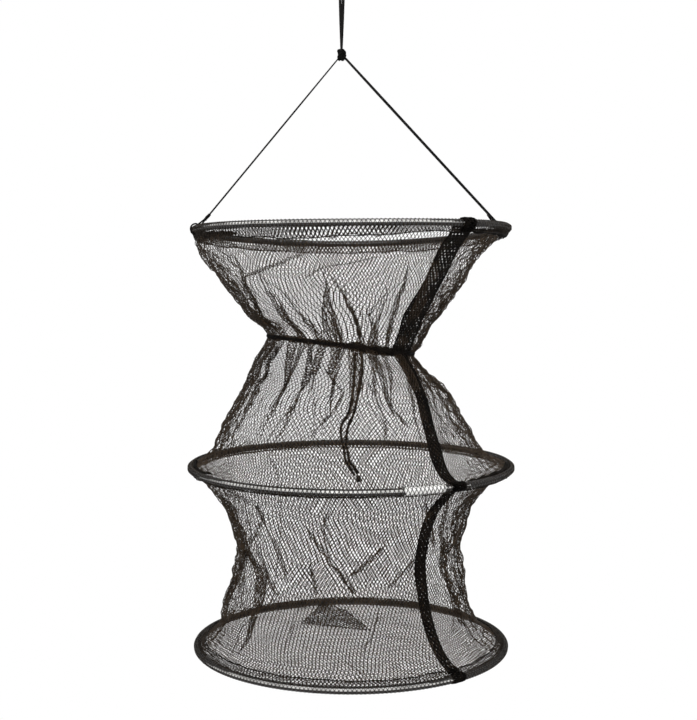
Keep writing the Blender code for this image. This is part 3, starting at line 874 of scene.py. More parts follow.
    def fold(self, item: bpy.types.Object, node: str) -> None:
        """Let a piece bend between the panel's two bodies, in place of a CAD node.

        Args:
            item: The piece.
            node: The CAD node.
        """
        start, end = ((0, 0, height * MM) for height in self.folds)
        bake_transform(item, self.upper.body.value, self.lower.body.value, start=start, end=end)
        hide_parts(node)

    def build(self) -> None:
        """Knit the panel's pieces, dress them and let them fold."""
        cell = (self.free_cell, self.slant() / self.rows)
        edges = [round(CELLS_ROUND * index / self.pieces) for index in range(self.pieces + 1)]
        for number, (first, last) in enumerate(zip(edges, edges[1:]), 1):

            def placed(cells: np.ndarray) -> np.ndarray:
                """Points for the piece, which starts at its first mesh."""
                return self.place(cells + (first, 0.0))

            name = f"{self.part}_net_strands" + (f"_{number}" if self.pieces > 1 else "")
            net = fit(knit(name, lattice(last - first, self.rows), cell, placed, self.strand), NET_FINISH, Slot.NETTING)
            self.fold(net, f"{self.part}_net")
            flat = ((last - first) * self.free_cell * MM, self.slant() * MM)


THROAT_LEFT = 82.5
THROAT_RIGHT = 61.5

UPPER_PANEL = Panel(
    part="upper", upper=TOP_HOOP, lower=THROAT, folds=(-267, -358), rows=24, free_cell=3.42, seed=11,
    extra=((0, 1), (0.55, 1.03), (0.85, 1.14), (1, 1.22)),
    left=(
        (0, 154.6), (0.08, 153), (0.17, 151), (0.29, 143), (0.4, 134), (0.52, 126),
        (0.64, 115), (0.75, 107), (0.81, 102), (0.87, 93), (0.93, 86), (1, THROAT_LEFT),
    ),
    right=(
        (0, 154.6), (0.07, 145), (0.16, 132), (0.26, 123), (0.36, 116), (0.45, 108.5),
        (0.55, 98.5), (0.65, 89.5), (0.74, 80), (0.84, 73.5), (0.93, 67.5), (1, THROAT_RIGHT),
    ),
    seam=((0, -47), (0.13, -45.6), (0.3, -45.6), (0.62, -45.4), (0.83, -42.5), (1, -40)),
    pleats=(
        Pleat(((0, -172), (1, -170)), ((0, 0.8), (1, 0.9))),
        Pleat(((0, -158), (1, -156)), ((0, 1.2), (1, 1.1))),
        Pleat(((0, -140), (0.4, -141), (0.76, -146), (1, -142)), ((0, 1.2), (1, 1.1))),
        Pleat(((0, -131), (0.5, -131), (1, -126)), ((0, 0.1), (0.45, 0.2), (1, 0.9))),
        Pleat(((0, -104), (0.5, -102), (1, -101)), ((0, 0.05), (0.3, 0.1), (0.6, 1), (1, 1.2)), 2.6),
        Pleat(((0, -94), (0.5, -92), (1, -82)), ((0, 0.05), (0.4, 0.1), (0.75, 1), (1, 1.2)), 2.6),
        Pleat(((0, -66), (0.5, -64), (1, -60)), ((0, 0.1), (0.3, 0.4), (1, 0.9))),
        Pleat(((0, -59), (0.3, -54.5), (0.62, -50.5), (1, -45)), ((0, 1.3), (1, 1.5)), 2.8),
        Pleat(((0, -42), (0.3, -38), (0.62, -33), (1, -25)), ((0, 1), (1, 1.2)), 2.6),
        Pleat(((0, -26), (1, -12)), ((0, 1.1), (1, 1.1)), 2.6),
        Pleat(((0, -118), (0.7, -117), (1, -112)), ((0, 0), (0.7, 0.05), (0.86, 0.6), (1, 0.9)), 2.4),
        Pleat(((0, -84), (0.7, -78), (1, -72)), ((0, 0), (0.66, 0.05), (0.84, 0.6), (1, 1)), 2.6),
        Pleat(((0, 4), (1, 12)), ((0, 0.7), (1, 1))),
        Pleat(((0, 36), (1, 42)), ((0, 0.2), (0.6, 0.3), (1, 1))),
        Pleat(((0, 70), (1, 72)), ((0, 0.1), (0.6, 0.3), (1, 1.1))),
        Pleat(((0, 104), (1, 99)), ((0, 0.1), (0.6, 0.3), (1, 1))),
        Pleat(((0, 137), (1, 130)), ((0, 0.3), (1, 1))),
        Pleat(((0, 165), (1, 160)), ((0, 0.6), (1, 0.9))),
    ),
    creases=(
        Crease(((104, 0.06), (112, 0.12), (122, 0.21), (133, 0.3), (146, 0.39), (153, 0.44)), 4.2, 2.4, 1.8),
        Crease(((72, 0.11), (80, 0.15), (93, 0.21), (105, 0.27), (114, 0.39), (117, 0.45)), 3.4, 1.8, 1.8),
        Crease(((-102, 0.3), (-97, 0.48), (-92, 0.61), (-88, 0.78), (-82, 1), (-78, 1.2)), 4.4, 2.4, 2),
        Crease(((-101, 0.42), (-105, 0.71), (-109, 1), (-111, 1.2)), 3.6, 2, 2.4),
        Crease(((-66, 0.25), (-64, 0.48), (-63, 0.66), (-61, 1), (-60, 1.2)), 3.4, 1.8, 2),
        Crease(((-66, 0.42), (-75, 0.59), (-87, 0.78)), 2.4, 1.2, 1.6),
        Crease(((-62, 0.5), (-75, 0.68), (-83, 0.82)), 2.2, 1.2, 1.6),
        Crease(((-142, 0.45), (-137, 0.61), (-130, 0.81), (-122, 1), (-117, 1.2)), 4, 2.2, 2),
        Crease(((-134, 0.48), (-124, 0.55), (-120, 0.74), (-113, 1), (-108, 1.2)), 3.6, 2, 2),
        Crease(((-138, 0.3), (-144, 0.56), (-145, 0.76), (-152, 1), (-156, 1.2)), 4.4, 2.4, 2.2),
    ),
)

MIDDLE_PANEL = Panel(
    part="middle", upper=THROAT, lower=MIDDLE_HOOP, folds=(-380, -485), rows=26, free_cell=3.4, seed=31,
    extra=((0, 1.22), (0.15, 1.14), (0.45, 1.04), (1, 1.02)),
    left=(
        (0, THROAT_LEFT), (0.09, 88), (0.17, 94), (0.26, 99), (0.35, 105.5), (0.45, 112),
        (0.55, 119), (0.63, 125), (0.73, 131), (0.83, 135.5), (0.91, 142), (1, 159.4),
    ),
    right=(
        (0, THROAT_RIGHT), (0.05, 63), (0.15, 74), (0.25, 85), (0.36, 96.5), (0.46, 103.5),
        (0.58, 111.5), (0.68, 118.5), (0.8, 126.5), (0.87, 132.5), (0.94, 142), (1, 159.4),
    ),
    seam=((0, -40), (0.12, -42.5), (0.33, -47), (0.6, -50.5), (0.84, -52), (1, -52.8)),
    pleats=(
        Pleat(((0, -171), (1, -172)), ((0, 0.9), (1, 0.9))),
        Pleat(((0, -157), (1, -162)), ((0, 1.1), (1, 1.1))),
        Pleat(((0, -146), (0.3, -147), (1, -150)), ((0, 1.1), (0.6, 0.6), (1, 0.5))),
        Pleat(((0, -134), (0.3, -129), (1, -136)), ((0, 1), (0.5, 0.4), (1, 0.1))),
        Pleat(((0, -119), (0.3, -117), (1, -128)), ((0, 0.8), (0.6, 0.5), (1, 0.1))),
        Pleat(((0, -101), (0.5, -101), (1, -104)), ((0, 1), (0.3, 0.3), (1, 0.05))),
        Pleat(((0, -86), (0.34, -88), (1, -100)), ((0, 1.6), (0.3, 1.2), (0.5, 0.3), (1, 0.05)), 2.8),
        Pleat(((0, -110), (0.3, -112), (1, -116)), ((0, 0.8), (0.2, 0.5), (0.4, 0.05), (1, 0)), 2.4),
        Pleat(((0, -75), (0.3, -76), (1, -80)), ((0, 1.1), (0.22, 0.6), (0.42, 0.05), (1, 0)), 2.6),
        Pleat(((0, -62), (0.4, -66), (1, -64)), ((0, 1), (0.4, 0.3), (1, 0.05))),
        Pleat(((0, -47), (0.33, -53), (0.6, -57), (1, -59)), ((0, 1.2), (0.4, 0.8), (1, 0.5))),
        Pleat(((0, -26), (0.33, -35), (0.6, -40), (1, -43)), ((0, 1.2), (1, 0.8)), 2.8),
        Pleat(((0, -10), (1, -22)), ((0, 1.1), (1, 1.1)), 2.6),
        Pleat(((0, 12), (1, 4)), ((0, 0.9), (1, 0.9))),
        Pleat(((0, 40), (1, 36)), ((0, 0.9), (0.5, 0.4), (1, 0.1))),
        Pleat(((0, 70), (1, 66)), ((0, 1), (0.5, 0.5), (1, 0.1))),
        Pleat(((0, 98), (1, 104)), ((0, 0.9), (0.5, 0.4), (1, 0.1))),
        Pleat(((0, 128), (1, 133)), ((0, 1), (1, 0.4))),
        Pleat(((0, 160), (1, 162)), ((0, 0.9), (1, 0.7))),
    ),
    creases=(
        Crease(((-121, -0.15), (-118, 0.06), (-112, 0.27), (-108, 0.46), (-108, 0.74)), 2.4, 1.2, 1.6),
        Crease(((-93, 0.28), (-97, 0.44), (-102, 0.54), (-108, 0.7)), 3.4, 1.8, 1.8),
        Crease(((-114, 0.26), (-120, 0.45), (-124, 0.56), (-128, 0.76)), 3.4, 1.8, 2.4),
        Crease(((-124, 0.22), (-130, 0.4), (-133, 0.5), (-134, 0.68)), 3.2, 1.6, 2),
        Crease(((-145, -0.1), (-146, 0.12), (-148, 0.31), (-152, 0.46), (-153, 0.9)), 3.8, 2, 2.4),
        Crease(((-109, 0.12), (-102, 0.24), (-92, 0.36)), 2.4, 1.2, 1.6),
        Crease(((84, 0.5), (77, 0.67), (72, 0.88)), 2.2, 1.2, 1.6),
        Crease(((-73, 0.26), (-67, 0.45), (-60, 0.6)), 3, 1.6, 1.8),
        Crease(((-84, 0.2), (-77, 0.38), (-74, 0.55), (-76, 0.72)), 3.2, 1.6, 2),
        Crease(((-25, 0.18), (-26, 0.41), (-23, 0.6), (-22, 0.8)), 3.6, 2, 2.2),
    ),
)

LOWER_PANEL = Panel(
    part="lower", upper=MIDDLE_HOOP, lower=BOTTOM_HOOP, folds=(-495, -665), rows=32, free_cell=3.45, seed=51,
    pieces=2, strand=0.8, crumple=0.5,
    left=(
        (0, 159.4), (0.06, 149), (0.14, 135), (0.17, 131), (0.24, 126), (0.31, 122),
        (0.38, 119.5), (0.45, 116), (0.52, 116.5), (0.58, 119), (0.65, 120.5), (0.72, 126),
        (0.79, 129.5), (0.86, 131), (0.93, 138), (1, 154.4),
    ),
    right=(
        (0, 159.4), (0.06, 143), (0.14, 128), (0.17, 123.5), (0.24, 118), (0.31, 114),
        (0.38, 110.5), (0.45, 108.5), (0.52, 109.5), (0.58, 111.5), (0.65, 113), (0.72, 115.5),
        (0.79, 119), (0.86, 125), (0.93, 135), (1, 154.4),
    ),
    seam=((0, -52.8), (0.13, -53), (0.3, -54), (0.5, -54), (0.7, -53), (0.88, -51), (1, -49.7)),
    pleats=(
        Pleat(
            ((0, -154), (0.26, -151), (0.41, -149), (0.52, -138), (0.64, -137), (1, -142)),
            ((0, 1.4), (0.6, 1.4), (1, 0.5)), 3,
        ),
        Pleat(((0, -170), (0.45, -158), (0.6, -163), (0.76, -167), (1, -170)), ((0, 0.9), (1, 0.9)), 2.6),
        Pleat(((0, -34), (0.31, -28), (0.44, -35), (0.64, -30), (1, -22)), ((0, 1.2), (1, 0.7)), 2.8),
        Pleat(((0, -12), (0.45, -17), (1, -8)), ((0, 0.9), (1, 0.7)), 2.6),
        Pleat(((0, 24), (0.5, 30), (1, 24)), ((0, 0.4), (1, 0.4))),
        Pleat(((0, 152), (0.5, 156), (1, 152)), ((0, 0.5), (1, 0.5))),
    ),
    creases=(
        Crease(((-112, 0.18), (-104, 0.34), (-94, 0.49), (-84, 0.62)), 4, 2, 1.7),
        Crease(((69, 0.56), (79, 0.69), (94, 0.82)), 3.8, 1.8, 1.7),
        Crease(((-132, 0.05), (-129, 0.24), (-125, 0.39), (-119, 0.54)), 4.4, 2.2, 1.8),
        Crease(((-139, 0.34), (-132, 0.51), (-122, 0.64)), 4.2, 2.2, 1.8),
        Crease(((-128, 0.1), (-133, 0.22), (-143, 0.38)), 3.4, 1.8, 1.8),
        Crease(((-99, 0.1), (-101, 0.26), (-97, 0.42)), 3, 1.6, 1.8),
        Crease(((112, 0.68), (106, 0.95)), 3.6, 1.8, 1.7),
        Crease(
            ((-152, -0.15), (-151, 0.2), (-149, 0.41), (-136, 0.54), (-135, 0.65), (-138, 0.8), (-142, 0.98)),
            3.8, 1.9, 2.8,
        ),
        Crease(((-146, 0.36), (-163, 0.58), (-167, 0.8)), 4, 2.2, 2.2),
        Crease(((-37, -0.12), (-28, 0.31), (-36, 0.44), (-30, 0.64), (-22, 1)), 4.6, 2.4, 2.6),
        Crease(((-62, 0.06), (-51, 0.24), (-43, 0.4)), 4.2, 2, 1.8),
        Crease(((50, 0.62), (65, 0.79), (74, 0.9)), 3.6, 1.8, 1.8),
        Crease(((71, 0.8), (55, 0.93)), 2.2, 1, 1.6),
    ),
)


# The seam


@dataclass(frozen=True)
class Seam:
    """The strip where a panel's two edges are rolled together and sewn."""

    panel: Panel
    half_width: float
    thickness: float
    shift: float = 0.0
    turns: float = 2.0
    cell_width: float = 3.2
    strand: float = 1.12
    outwards: float = 0.6

    def build(self) -> None:
        """Knit the rolled strip, which folds as its panel does."""
        panel = self.panel
        columns = round(self.half_width * 4 * self.turns / self.cell_width)

        def placed(cells: np.ndarray) -> np.ndarray:
            """Points on the roll.

            Args:
                cells: Flat places in meshes.

            Returns:
                The points.
            """
            inward, down = cells[:, 0] / columns, cells[:, 1] / panel.rows
            seam = between(down, panel.seam)
            centre = panel.base(seam, down)
            angle = math.tau * self.turns * cells[:, 0] / columns
            across = self.shift + self.half_width * (1 + Wobble(71, 60.0, 0.05).at(centre)) * np.cos(angle)
            depth = self.thickness * np.sin(angle) * (0.5 + inward) + self.outwards
            turn = np.radians(seam)
            side = np.stack([-np.sin(turn), np.cos(turn), np.zeros_like(turn)], axis=1)
            outward = np.stack([np.cos(turn), np.sin(turn), np.zeros_like(turn)], axis=1)
            return centre + side * across[:, None] + outward * depth[:, None]

        cell = (self.cell_width, panel.slant() / panel.rows)
        item = knit(f"{panel.part}_seam_roll", lattice(columns, panel.rows), cell, placed, self.strand)
        # Painted shade: the rolled seam takes the darkened netting finish.
        panel.fold(fit(item, SHADED_NET_FINISH, Slot.NETTING), f"{panel.part}_seam")


SEAMS = (Seam(UPPER_PANEL, 14.0, 2.0, -3.5), Seam(MIDDLE_PANEL, 7.0, 1.5), Seam(LOWER_PANEL, 6.6, 1.4))


# Hoops


@dataclass(frozen=True)
class HemmedHoop:
    """A plastic hoop, its joining sleeve and the netting sewn round it.

    hem is the netting's section, as across and up, and stitched and bunched_at are places beside it, of the
    thread and of the spare rolls. drop says how deep the hem hangs at azimuths, proud between which heights
    the seam stands off it, and each bunch holds its two azimuths and its radius at each.
    """

    name: str
    ring: Ring
    hem: Table
    hem_rows: int
    stitched: Pair
    seam_azimuth: float
    wrap_lift: float
    hem_strand: float = 0.72
    drop: Table = ((-180.0, 1.0), (180.0, 1.0))
    bunches: tuple[tuple[float, float, float, float], ...] = ()
    bunched_at: Pair = (-5.0, -6.9)
    proud: Pair = (-20.0, 20.0)
    sleeve_half_angle: float = 6.0
    sleeve_look: tuple[Finish, Slot] = (TUBE_FINISH, Slot.HOOP)
    tube_radius: float = 3.15
    tube_joint: float = 0.12
    sleeve_gap: float = 0.15
    sleeve_wall: float = 0.55
    hangs_below: float = -4.0
    tight: Pair = (4.0, 7.0)
    loose: Pair = (4.5, 8.5)
    fade: float = 1.5
    wrap_cells: tuple[int, int] = (18, 12)
    wrap_turns: int = 3
    wrap_half: float = 2.9
    wrap_cell: float = 2.6
    wrap_swing: float = 0.6
    # Where the painted highlight lies: middle azimuth, half width and fade, then its lowest angle round the section and
    # widest span.
    highlight_azimuths: tuple[float, float, float] = (-100.0, 62.0, 30.0)
    highlight_angles: Pair = (-5.0, 47.0)

    def sweep(self, radius: float, start: float, angle: float, sides: int) -> bmesh.types.BMesh:
        """A round section spun along a stretch of the ring.

        Args:
            radius: The section's radius.
            start: The azimuth where it starts.
            angle: How many degrees it runs.
            sides: Faces round the section.

        Returns:
            The open tube, in metres.
        """
        shape = bmesh.new()
        there = Matrix.Translation((self.ring.radius, 0, 0)) @ Matrix.Rotation(math.pi / 2, 4, "X")
        bmesh.ops.create_circle(shape, segments=sides, radius=radius, matrix=there)
        turned = Matrix.Rotation(math.radians(start), 3, "Z")
        bmesh.ops.rotate(shape, verts=shape.verts, cent=(0, 0, 0), matrix=turned)
        bmesh.ops.spin(
            shape, geom=shape.verts[:] + shape.edges[:], cent=(0, 0, 0), axis=(0, 0, 1),
            angle=math.radians(angle), steps=max(8, round(angle / 1.8)), use_merge=False,
        )
        for vert in shape.verts:
            vert.co.z += float(self.ring.rise(math.degrees(math.atan2(vert.co.y, vert.co.x))))
            vert.co.x += self.ring.centre_x
            vert.co *= MM
        return shape

    def tube(self) -> None:
        """The bent tube, with a butt joint inside the sleeve and a painted highlight along its front."""
        start = self.ring.joint_azimuth + self.tube_joint
        shape = self.sweep(self.tube_radius, start, 360.0 - 2 * self.tube_joint, 24)
        bmesh.ops.holes_fill(shape, edges=[edge for edge in shape.edges if edge.is_boundary], sides=0)
        bmesh.ops.recalc_face_normals(shape, faces=shape.faces)
        item = piece(self.name + "_hoop_round_tube", shape)
        fit(item, TUBE_FINISH, Slot.HOOP, self.ring.body, self.name + "_hoop_tube")
        # Front faces take the pale finish: a painted highlight of the lamp's glint on the tube.
        item.data.materials.append(PAINTED_HIGHLIGHT_FINISH.make())
        faces = item.data.polygons
        faces.foreach_set("material_index", [int(self.in_painted_highlight(face.center / MM)) for face in faces])

    def in_painted_highlight(self, point: Vector) -> bool:
        """Whether a point is in the painted highlight, a lamp's glint painted pale along the hoop's front that narrows
        to both sides.

        Args:
            point: A place on the tube.

        Returns:
            Whether the plastic is painted pale and shiny there, as a painted highlight.
        """
        across = math.hypot(point.x - self.ring.centre_x, point.y) - self.ring.radius
        azimuth = math.degrees(math.atan2(point.y, point.x - self.ring.centre_x))
        middle, half, fade = self.highlight_azimuths
        low, wide = self.highlight_angles
        high = low + wide * smooth_step((half - abs(azimuth - middle)) / fade)
        return low < math.degrees(math.atan2(point.z - self.ring.rise(azimuth), across)) < high

    def sleeve(self) -> None:
        """The sleeve over the joint."""
        half = self.sleeve_half_angle
        outer = self.tube_radius + self.sleeve_gap + self.sleeve_wall
        shape = self.sweep(outer, self.ring.joint_azimuth - half, 2 * half, 20)
        bmesh.ops.recalc_face_normals(shape, faces=shape.faces)
        item = piece(self.name + "_hoop_joint_sleeve", shape)
        wall = item.modifiers.new("wall", "SOLIDIFY")
        wall.thickness = self.sleeve_wall * MM
        wall.offset = -1.0
        fit(item, *self.sleeve_look, self.ring.body, self.name + "_hoop_sleeve")

    def swell(self, azimuth: np.ndarray) -> np.ndarray:
        """How much the netting swells over the sleeve."""
        turn = np.abs((azimuth - self.ring.joint_azimuth + 180.0) % 360.0 - 180.0)
        near = smooth_step((self.sleeve_half_angle + self.fade - turn) / self.fade)
        return (self.sleeve_gap + self.sleeve_wall) * near

    def hang(self, azimuth: np.ndarray, up: np.ndarray) -> np.ndarray:
        """Heights in the hem, which hangs deeper in some places than in others."""
        stretch = between((azimuth + 180.0) % 360.0 - 180.0, self.drop)
        return np.where(up < self.hangs_below, self.hangs_below + (up - self.hangs_below) * stretch, up)

    def girth(self) -> float:
        """The length of the hem's section."""
        return distances(np.array(self.hem))[-1]

    def section(self, share: np.ndarray) -> np.ndarray:
        """Places on the hem's section, as across and up, at shares of its length."""
        run, line = distances(np.array(self.hem)), np.array(self.hem)
        return np.array([np.interp(share * run[-1], run, line[:, way]) for way in (0, 1)])

    def netting(self) -> None:
        """The netting folded round the hoop and sewn to itself."""

        def placed(cells: np.ndarray) -> np.ndarray:
            """Points along the hem's section, all the way round.

            Args:
                cells: Flat places in meshes.

            Returns:
                The points.
            """
            azimuth = cells[:, 0] / CELLS_ROUND * 360.0 + self.ring.joint_azimuth + 90.0
            across, up = self.section(cells[:, 1] / self.hem_rows)
            reach = np.hypot(across, up)
            near = np.clip((self.tight[1] - reach) / (self.tight[1] - self.tight[0]), 0.0, 1.0)
            grow = 1 + near * self.swell(azimuth) / np.maximum(reach, 1.0)
            where = self.ring.points(azimuth, across, up)
            loose = np.clip((reach - self.loose[0]) / (self.loose[1] - self.loose[0]), 0.0, 1.0)
            across = across * grow + loose * Wobble(81, 22.0, 0.8).at(where)
            up = self.hang(azimuth, up * grow + loose * Wobble(82, 18.0, 0.7).at(where))
            return self.ring.points(azimuth, across, up)

        cell = (math.tau * self.ring.radius / CELLS_ROUND, self.girth() / self.hem_rows)
        item = knit(self.name + "_hem_strands", lattice(CELLS_ROUND, self.hem_rows), cell, placed, self.hem_strand)
        # Painted shade: the hem takes the darkened netting finish.
        fit(item, HEM_SHADE_FINISH, Slot.NETTING, self.ring.body, self.name + "_hem")

    def stitches(self) -> None:
        """The thread that closes the hem, in and out through the netting."""
        azimuth = np.arange(0.0, 360.0, 0.5)
        across, up = self.stitched
        in_out = 0.5 * np.sin(np.radians(azimuth * 90.0))
        height = self.hang(azimuth, np.full(len(azimuth), up))
        height += Wobble(83, 40.0, 0.5).at(self.ring.points(azimuth))
        route = [Vector(row) for row in self.ring.points(azimuth, across + in_out, height)]
        thread = tubes(self.name + "_hem_thread", [route], 0.5, closed=True)
        # The thread takes the netting finish darkened as painted shade.
        fit(thread, SHADED_NET_FINISH, Slot.NETTING, self.ring.body)

    def seam_wrap(self) -> None:
        """The seam's thick roll where it passes round the hoop."""
        columns, rows = self.wrap_cells

        def placed(cells: np.ndarray) -> np.ndarray:
            """Points on the roll, outside the hem.

            Args:
                cells: Flat places in meshes.

            Returns:
                The points.
            """
            turn = math.tau * self.wrap_turns * cells[:, 0] / columns
            azimuth = self.seam_azimuth + self.wrap_half * np.cos(turn)
            across, up = self.section(cells[:, 1] / rows)
            reach = np.maximum(np.hypot(across, up), 1.0)
            low, high = self.proud
            proud = smooth_step((up - low) / self.fade) * smooth_step((high - up) / self.fade)
            grow = (reach + proud * self.wrap_lift * (1.0 + self.wrap_swing * np.sin(turn))) / reach
            return self.ring.points(azimuth, across * grow, self.hang(azimuth, up * grow))

        cell = (self.wrap_cell, self.girth() / rows)
        item = knit(self.name + "_seam_wrap", lattice(columns, rows), cell, placed, 1.1, 0.7)
        # Painted shade: the seam's roll round the hoop takes the darkened netting finish.
        fit(item, SHADED_NET_FINISH, Slot.NETTING, self.ring.body)

    def build(self) -> None:
        """Build the hoop with its sleeve and netting."""
        self.tube()
        self.sleeve()
        self.netting()
        self.stitches()
        self.seam_wrap()
        for first, last, start, end in self.bunches:
            name = f"{self.name}_hem_bunch_{round(first % 360.0)}"
            Roll(name, self.ring, (first, last), (start, end), self.bunched_at).build()


def wrapped(first: float, last: float, before: Table, after: Table, radius: float = 3.6, steps: int = 16) -> Table:
    """The section of netting round a hoop.

    Args:
        first: The angle from outwards where it meets the tube, in degrees.
        last: The angle where it leaves.
        before: Points before the tube, as across and up.
        after: Points after it.
        radius: The radius of the netting round the tube.
        steps: How many stretches go round the tube.

    Returns:
        The section's points as across and up.
    """
    angles = [math.radians(first + (last - first) * step / steps) for step in range(steps + 1)]
    return (*before, *((radius * math.cos(angle), radius * math.sin(angle)) for angle in angles), *after)


HOOPS = (
    HemmedHoop(
        "top", TOP_HOOP, wrapped(-65, 235, ((-1.4, -10.8), (-0.2, -6.5)), ((-3.2, -7), (-3.8, -11.2))), 5,
        stitched=(-2.4, -10.6), seam_azimuth=-47.0, wrap_lift=1.0, hem_strand=0.68,
        drop=((-180, 0.8), (-140, 0.9), (-105, 1.3), (-80, 1), (-55, 0.5), (-20, 0.5), (60, 0.9), (180, 0.8)),
        bunches=((-184, -134, 4.4, 1.6), (-44, -8, 2, 3)),
    ),
    HemmedHoop(
        "middle", MIDDLE_HOOP, wrapped(-80, 255, ((-2, -5.2),), ((-3, -4.9),)), 4,
        stitched=(-1.0, -4.2), seam_azimuth=-52.8, wrap_lift=0.7, proud=(-3.6, 20.0),
        bunches=((-182, -146, 2.4, 0.8), (-47, -4, 1.2, 2.6)), bunched_at=(-3.4, 3.4),
        sleeve_half_angle=7.25, sleeve_look=(SLEEVE_FINISH, Slot.SLEEVE),
    ),
    HemmedHoop(
        "bottom", BOTTOM_HOOP, wrapped(125, -205, ((-8, 6.4), (-4.6, 4.4)), ((-6, 0.6), (-8, 0.4))), 7,
        stitched=(-8.2, 6.2), seam_azimuth=-50.5, wrap_lift=0.4, hem_strand=0.6, proud=(-20.0, 2.6),
    ),
)


# The floor


@dataclass(frozen=True)
class FloorNet:
    """The flat netting inside the bottom hoop, with a loose corner doubled over towards the back.

    patch holds the corner's outline, as places from the hoops' axis.
    """

    radius: float = 150.6
    cell: Pair = (3.7, 7.4)
    strand: float = 1.0
    edge: float = 25.0
    creases: tuple[Crease, ...] = (
        Crease(((33.1, 143), (28.5, 90), (24, 35), (16, -15), (8, -62)), 2.4, 0.5, 1.6),
        Crease(((-58, 140), (-62.7, 39.8), (-65, -60)), 2.0, 0.4, 1.8),
        Crease(((-113, 78), (-116.4, -7.2), (-119, -62)), 2.2, 0.5, 1.6),
        Crease(((-8, -66), (4, -95), (17, -128)), 2.0, 0.4, 1.6),
    )
    patch: Table = ((-31.2, 146.0), (-52.0, 62.0), (20.0, 34.0), (-6.0, 112.0))
    patch_cell: Pair = (4.6, 7.4)
    patch_strand: float = 1.6
    patch_rise: float = 1.3

    def build(self) -> None:
        """Knit the disc and the doubled patch on it."""
        self.disc()
        self.fold()

    def lay(self, at: np.ndarray, up: np.ndarray) -> np.ndarray:
        """Points over the floor's middle at flat places and heights."""
        return np.stack([HOOP_AXIS_X + at[:, 0], at[:, 1], BOTTOM_HOOP.height + up], axis=1)

    def disc(self) -> None:
        """Knit the disc."""
        scale = np.array(self.cell)
        size = tuple(math.ceil(2 * self.radius / length) for length in self.cell)
        cells = lattice(*size)

        def spread(flat: np.ndarray) -> np.ndarray:
            """Flat places from the floor's middle."""
            return (flat - np.array(size) / 2) * scale

        outside = [v for v in cells.verts if np.hypot(*spread(np.array(v.co[:2]))) > self.radius]
        bmesh.ops.delete(cells, geom=outside, context="VERTS")

        def placed(flat: np.ndarray) -> np.ndarray:
            """Points on the nearly flat floor.

            Args:
                flat: Flat places in meshes.

            Returns:
                The points.
            """
            at = spread(flat)
            ease = smooth_step((self.radius - np.hypot(at[:, 0], at[:, 1])) / self.edge)
            up = ease * (Wobble(91, 70.0, 0.35).at(at) + 0.4)
            shift = np.stack([Wobble(seed, 50.0, 0.8).at(at) for seed in (93, 94)], axis=1)
            for crease in self.creases:
                moves = crease.moves(at, flat_route(crease.path, 8.0))
                shift += moves[:, :2]
                up += ease * moves[:, 2]
            return self.lay(at + shift * ease[:, None], up)

        item = knit("floor_net_strands", cells, self.cell, placed, self.strand, 0.6)
        fit(item, NET_FINISH, Slot.NETTING, Body.BOTTOM, "floor_net")

    def fold(self) -> None:
        """Knit the doubled corner, which lies on the floor."""
        size = np.array(self.patch_cell)
        around = np.array(self.patch)
        low, high = around.min(axis=0), around.max(axis=0)
        cells = lattice(*(math.ceil(count) for count in (high - low) / size))
        edges = (around - low) / size
        for first, last in zip(edges, np.roll(edges, -1, axis=0)):
            cut(cells, first, (last[1] - first[1], first[0] - last[0]))

        def placed(flat: np.ndarray) -> np.ndarray:
            """Points just above the floor."""
            return self.lay(low + flat * size, self.patch_rise + Wobble(95, 30.0, 0.25).at(flat * size))

        item = knit("floor_net_fold", cells, self.patch_cell, placed, self.patch_strand, 0.8)
        # Painted shade: the doubled corner takes the darkened netting finish.
        fit(item, SHADED_NET_FINISH, Slot.NETTING, Body.BOTTOM)


# Cords and knots


@dataclass(frozen=True)
class Knot:
    """A tightened overhand knot: a cord wound through itself and drawn into a lump, with loose ends or none."""

    name: str
    centre: Vector
    half: Vector
    cord_radius: float
    axis: Vector = spot(0, 0, 1)
    ends: tuple[tuple[Vector, ...], ...] = ()
    count: int = 72
    sway: float = 0.42
    bulge: float = 0.62

    def build(self, slot: Slot, body: Body, node: str) -> bpy.types.Object:
        """Wind the knot.

        Args:
            slot: The record's slot.
            body: The body that it rides on.
            node: The CAD node that it stands for.

        Returns:
            The piece.
        """
        turn = Vector((0, 0, 1)).rotation_difference(self.axis.normalized()).to_matrix()
        inner = Vector(tuple(max(h - self.cord_radius, 0.4) for h in self.half))
        wide, pitch = 1.0 + self.sway, self.cord_radius * 6
        route = []
        for index in range(self.count + 1):
            t = math.tau * index / self.count
            reach = 1.0 + self.sway * math.cos(3 * t)
            p = Vector((reach * math.cos(2 * t), reach * math.sin(2 * t), self.bulge * math.sin(3 * t)))
            p = Vector((p.x / wide * inner.x, p.y / wide * inner.y, p.z / self.bulge * inner.z))
            route.append(self.centre + turn @ p)
        routes = laid(route, self.cord_radius, pitch)
        for end in self.ends:
            routes += laid(smooth_route(end, 0.6), self.cord_radius * 0.85, pitch)
        return fit(tubes(self.name, routes, self.cord_radius * PLY_SHARE), CORD_FINISH, slot, body, node)


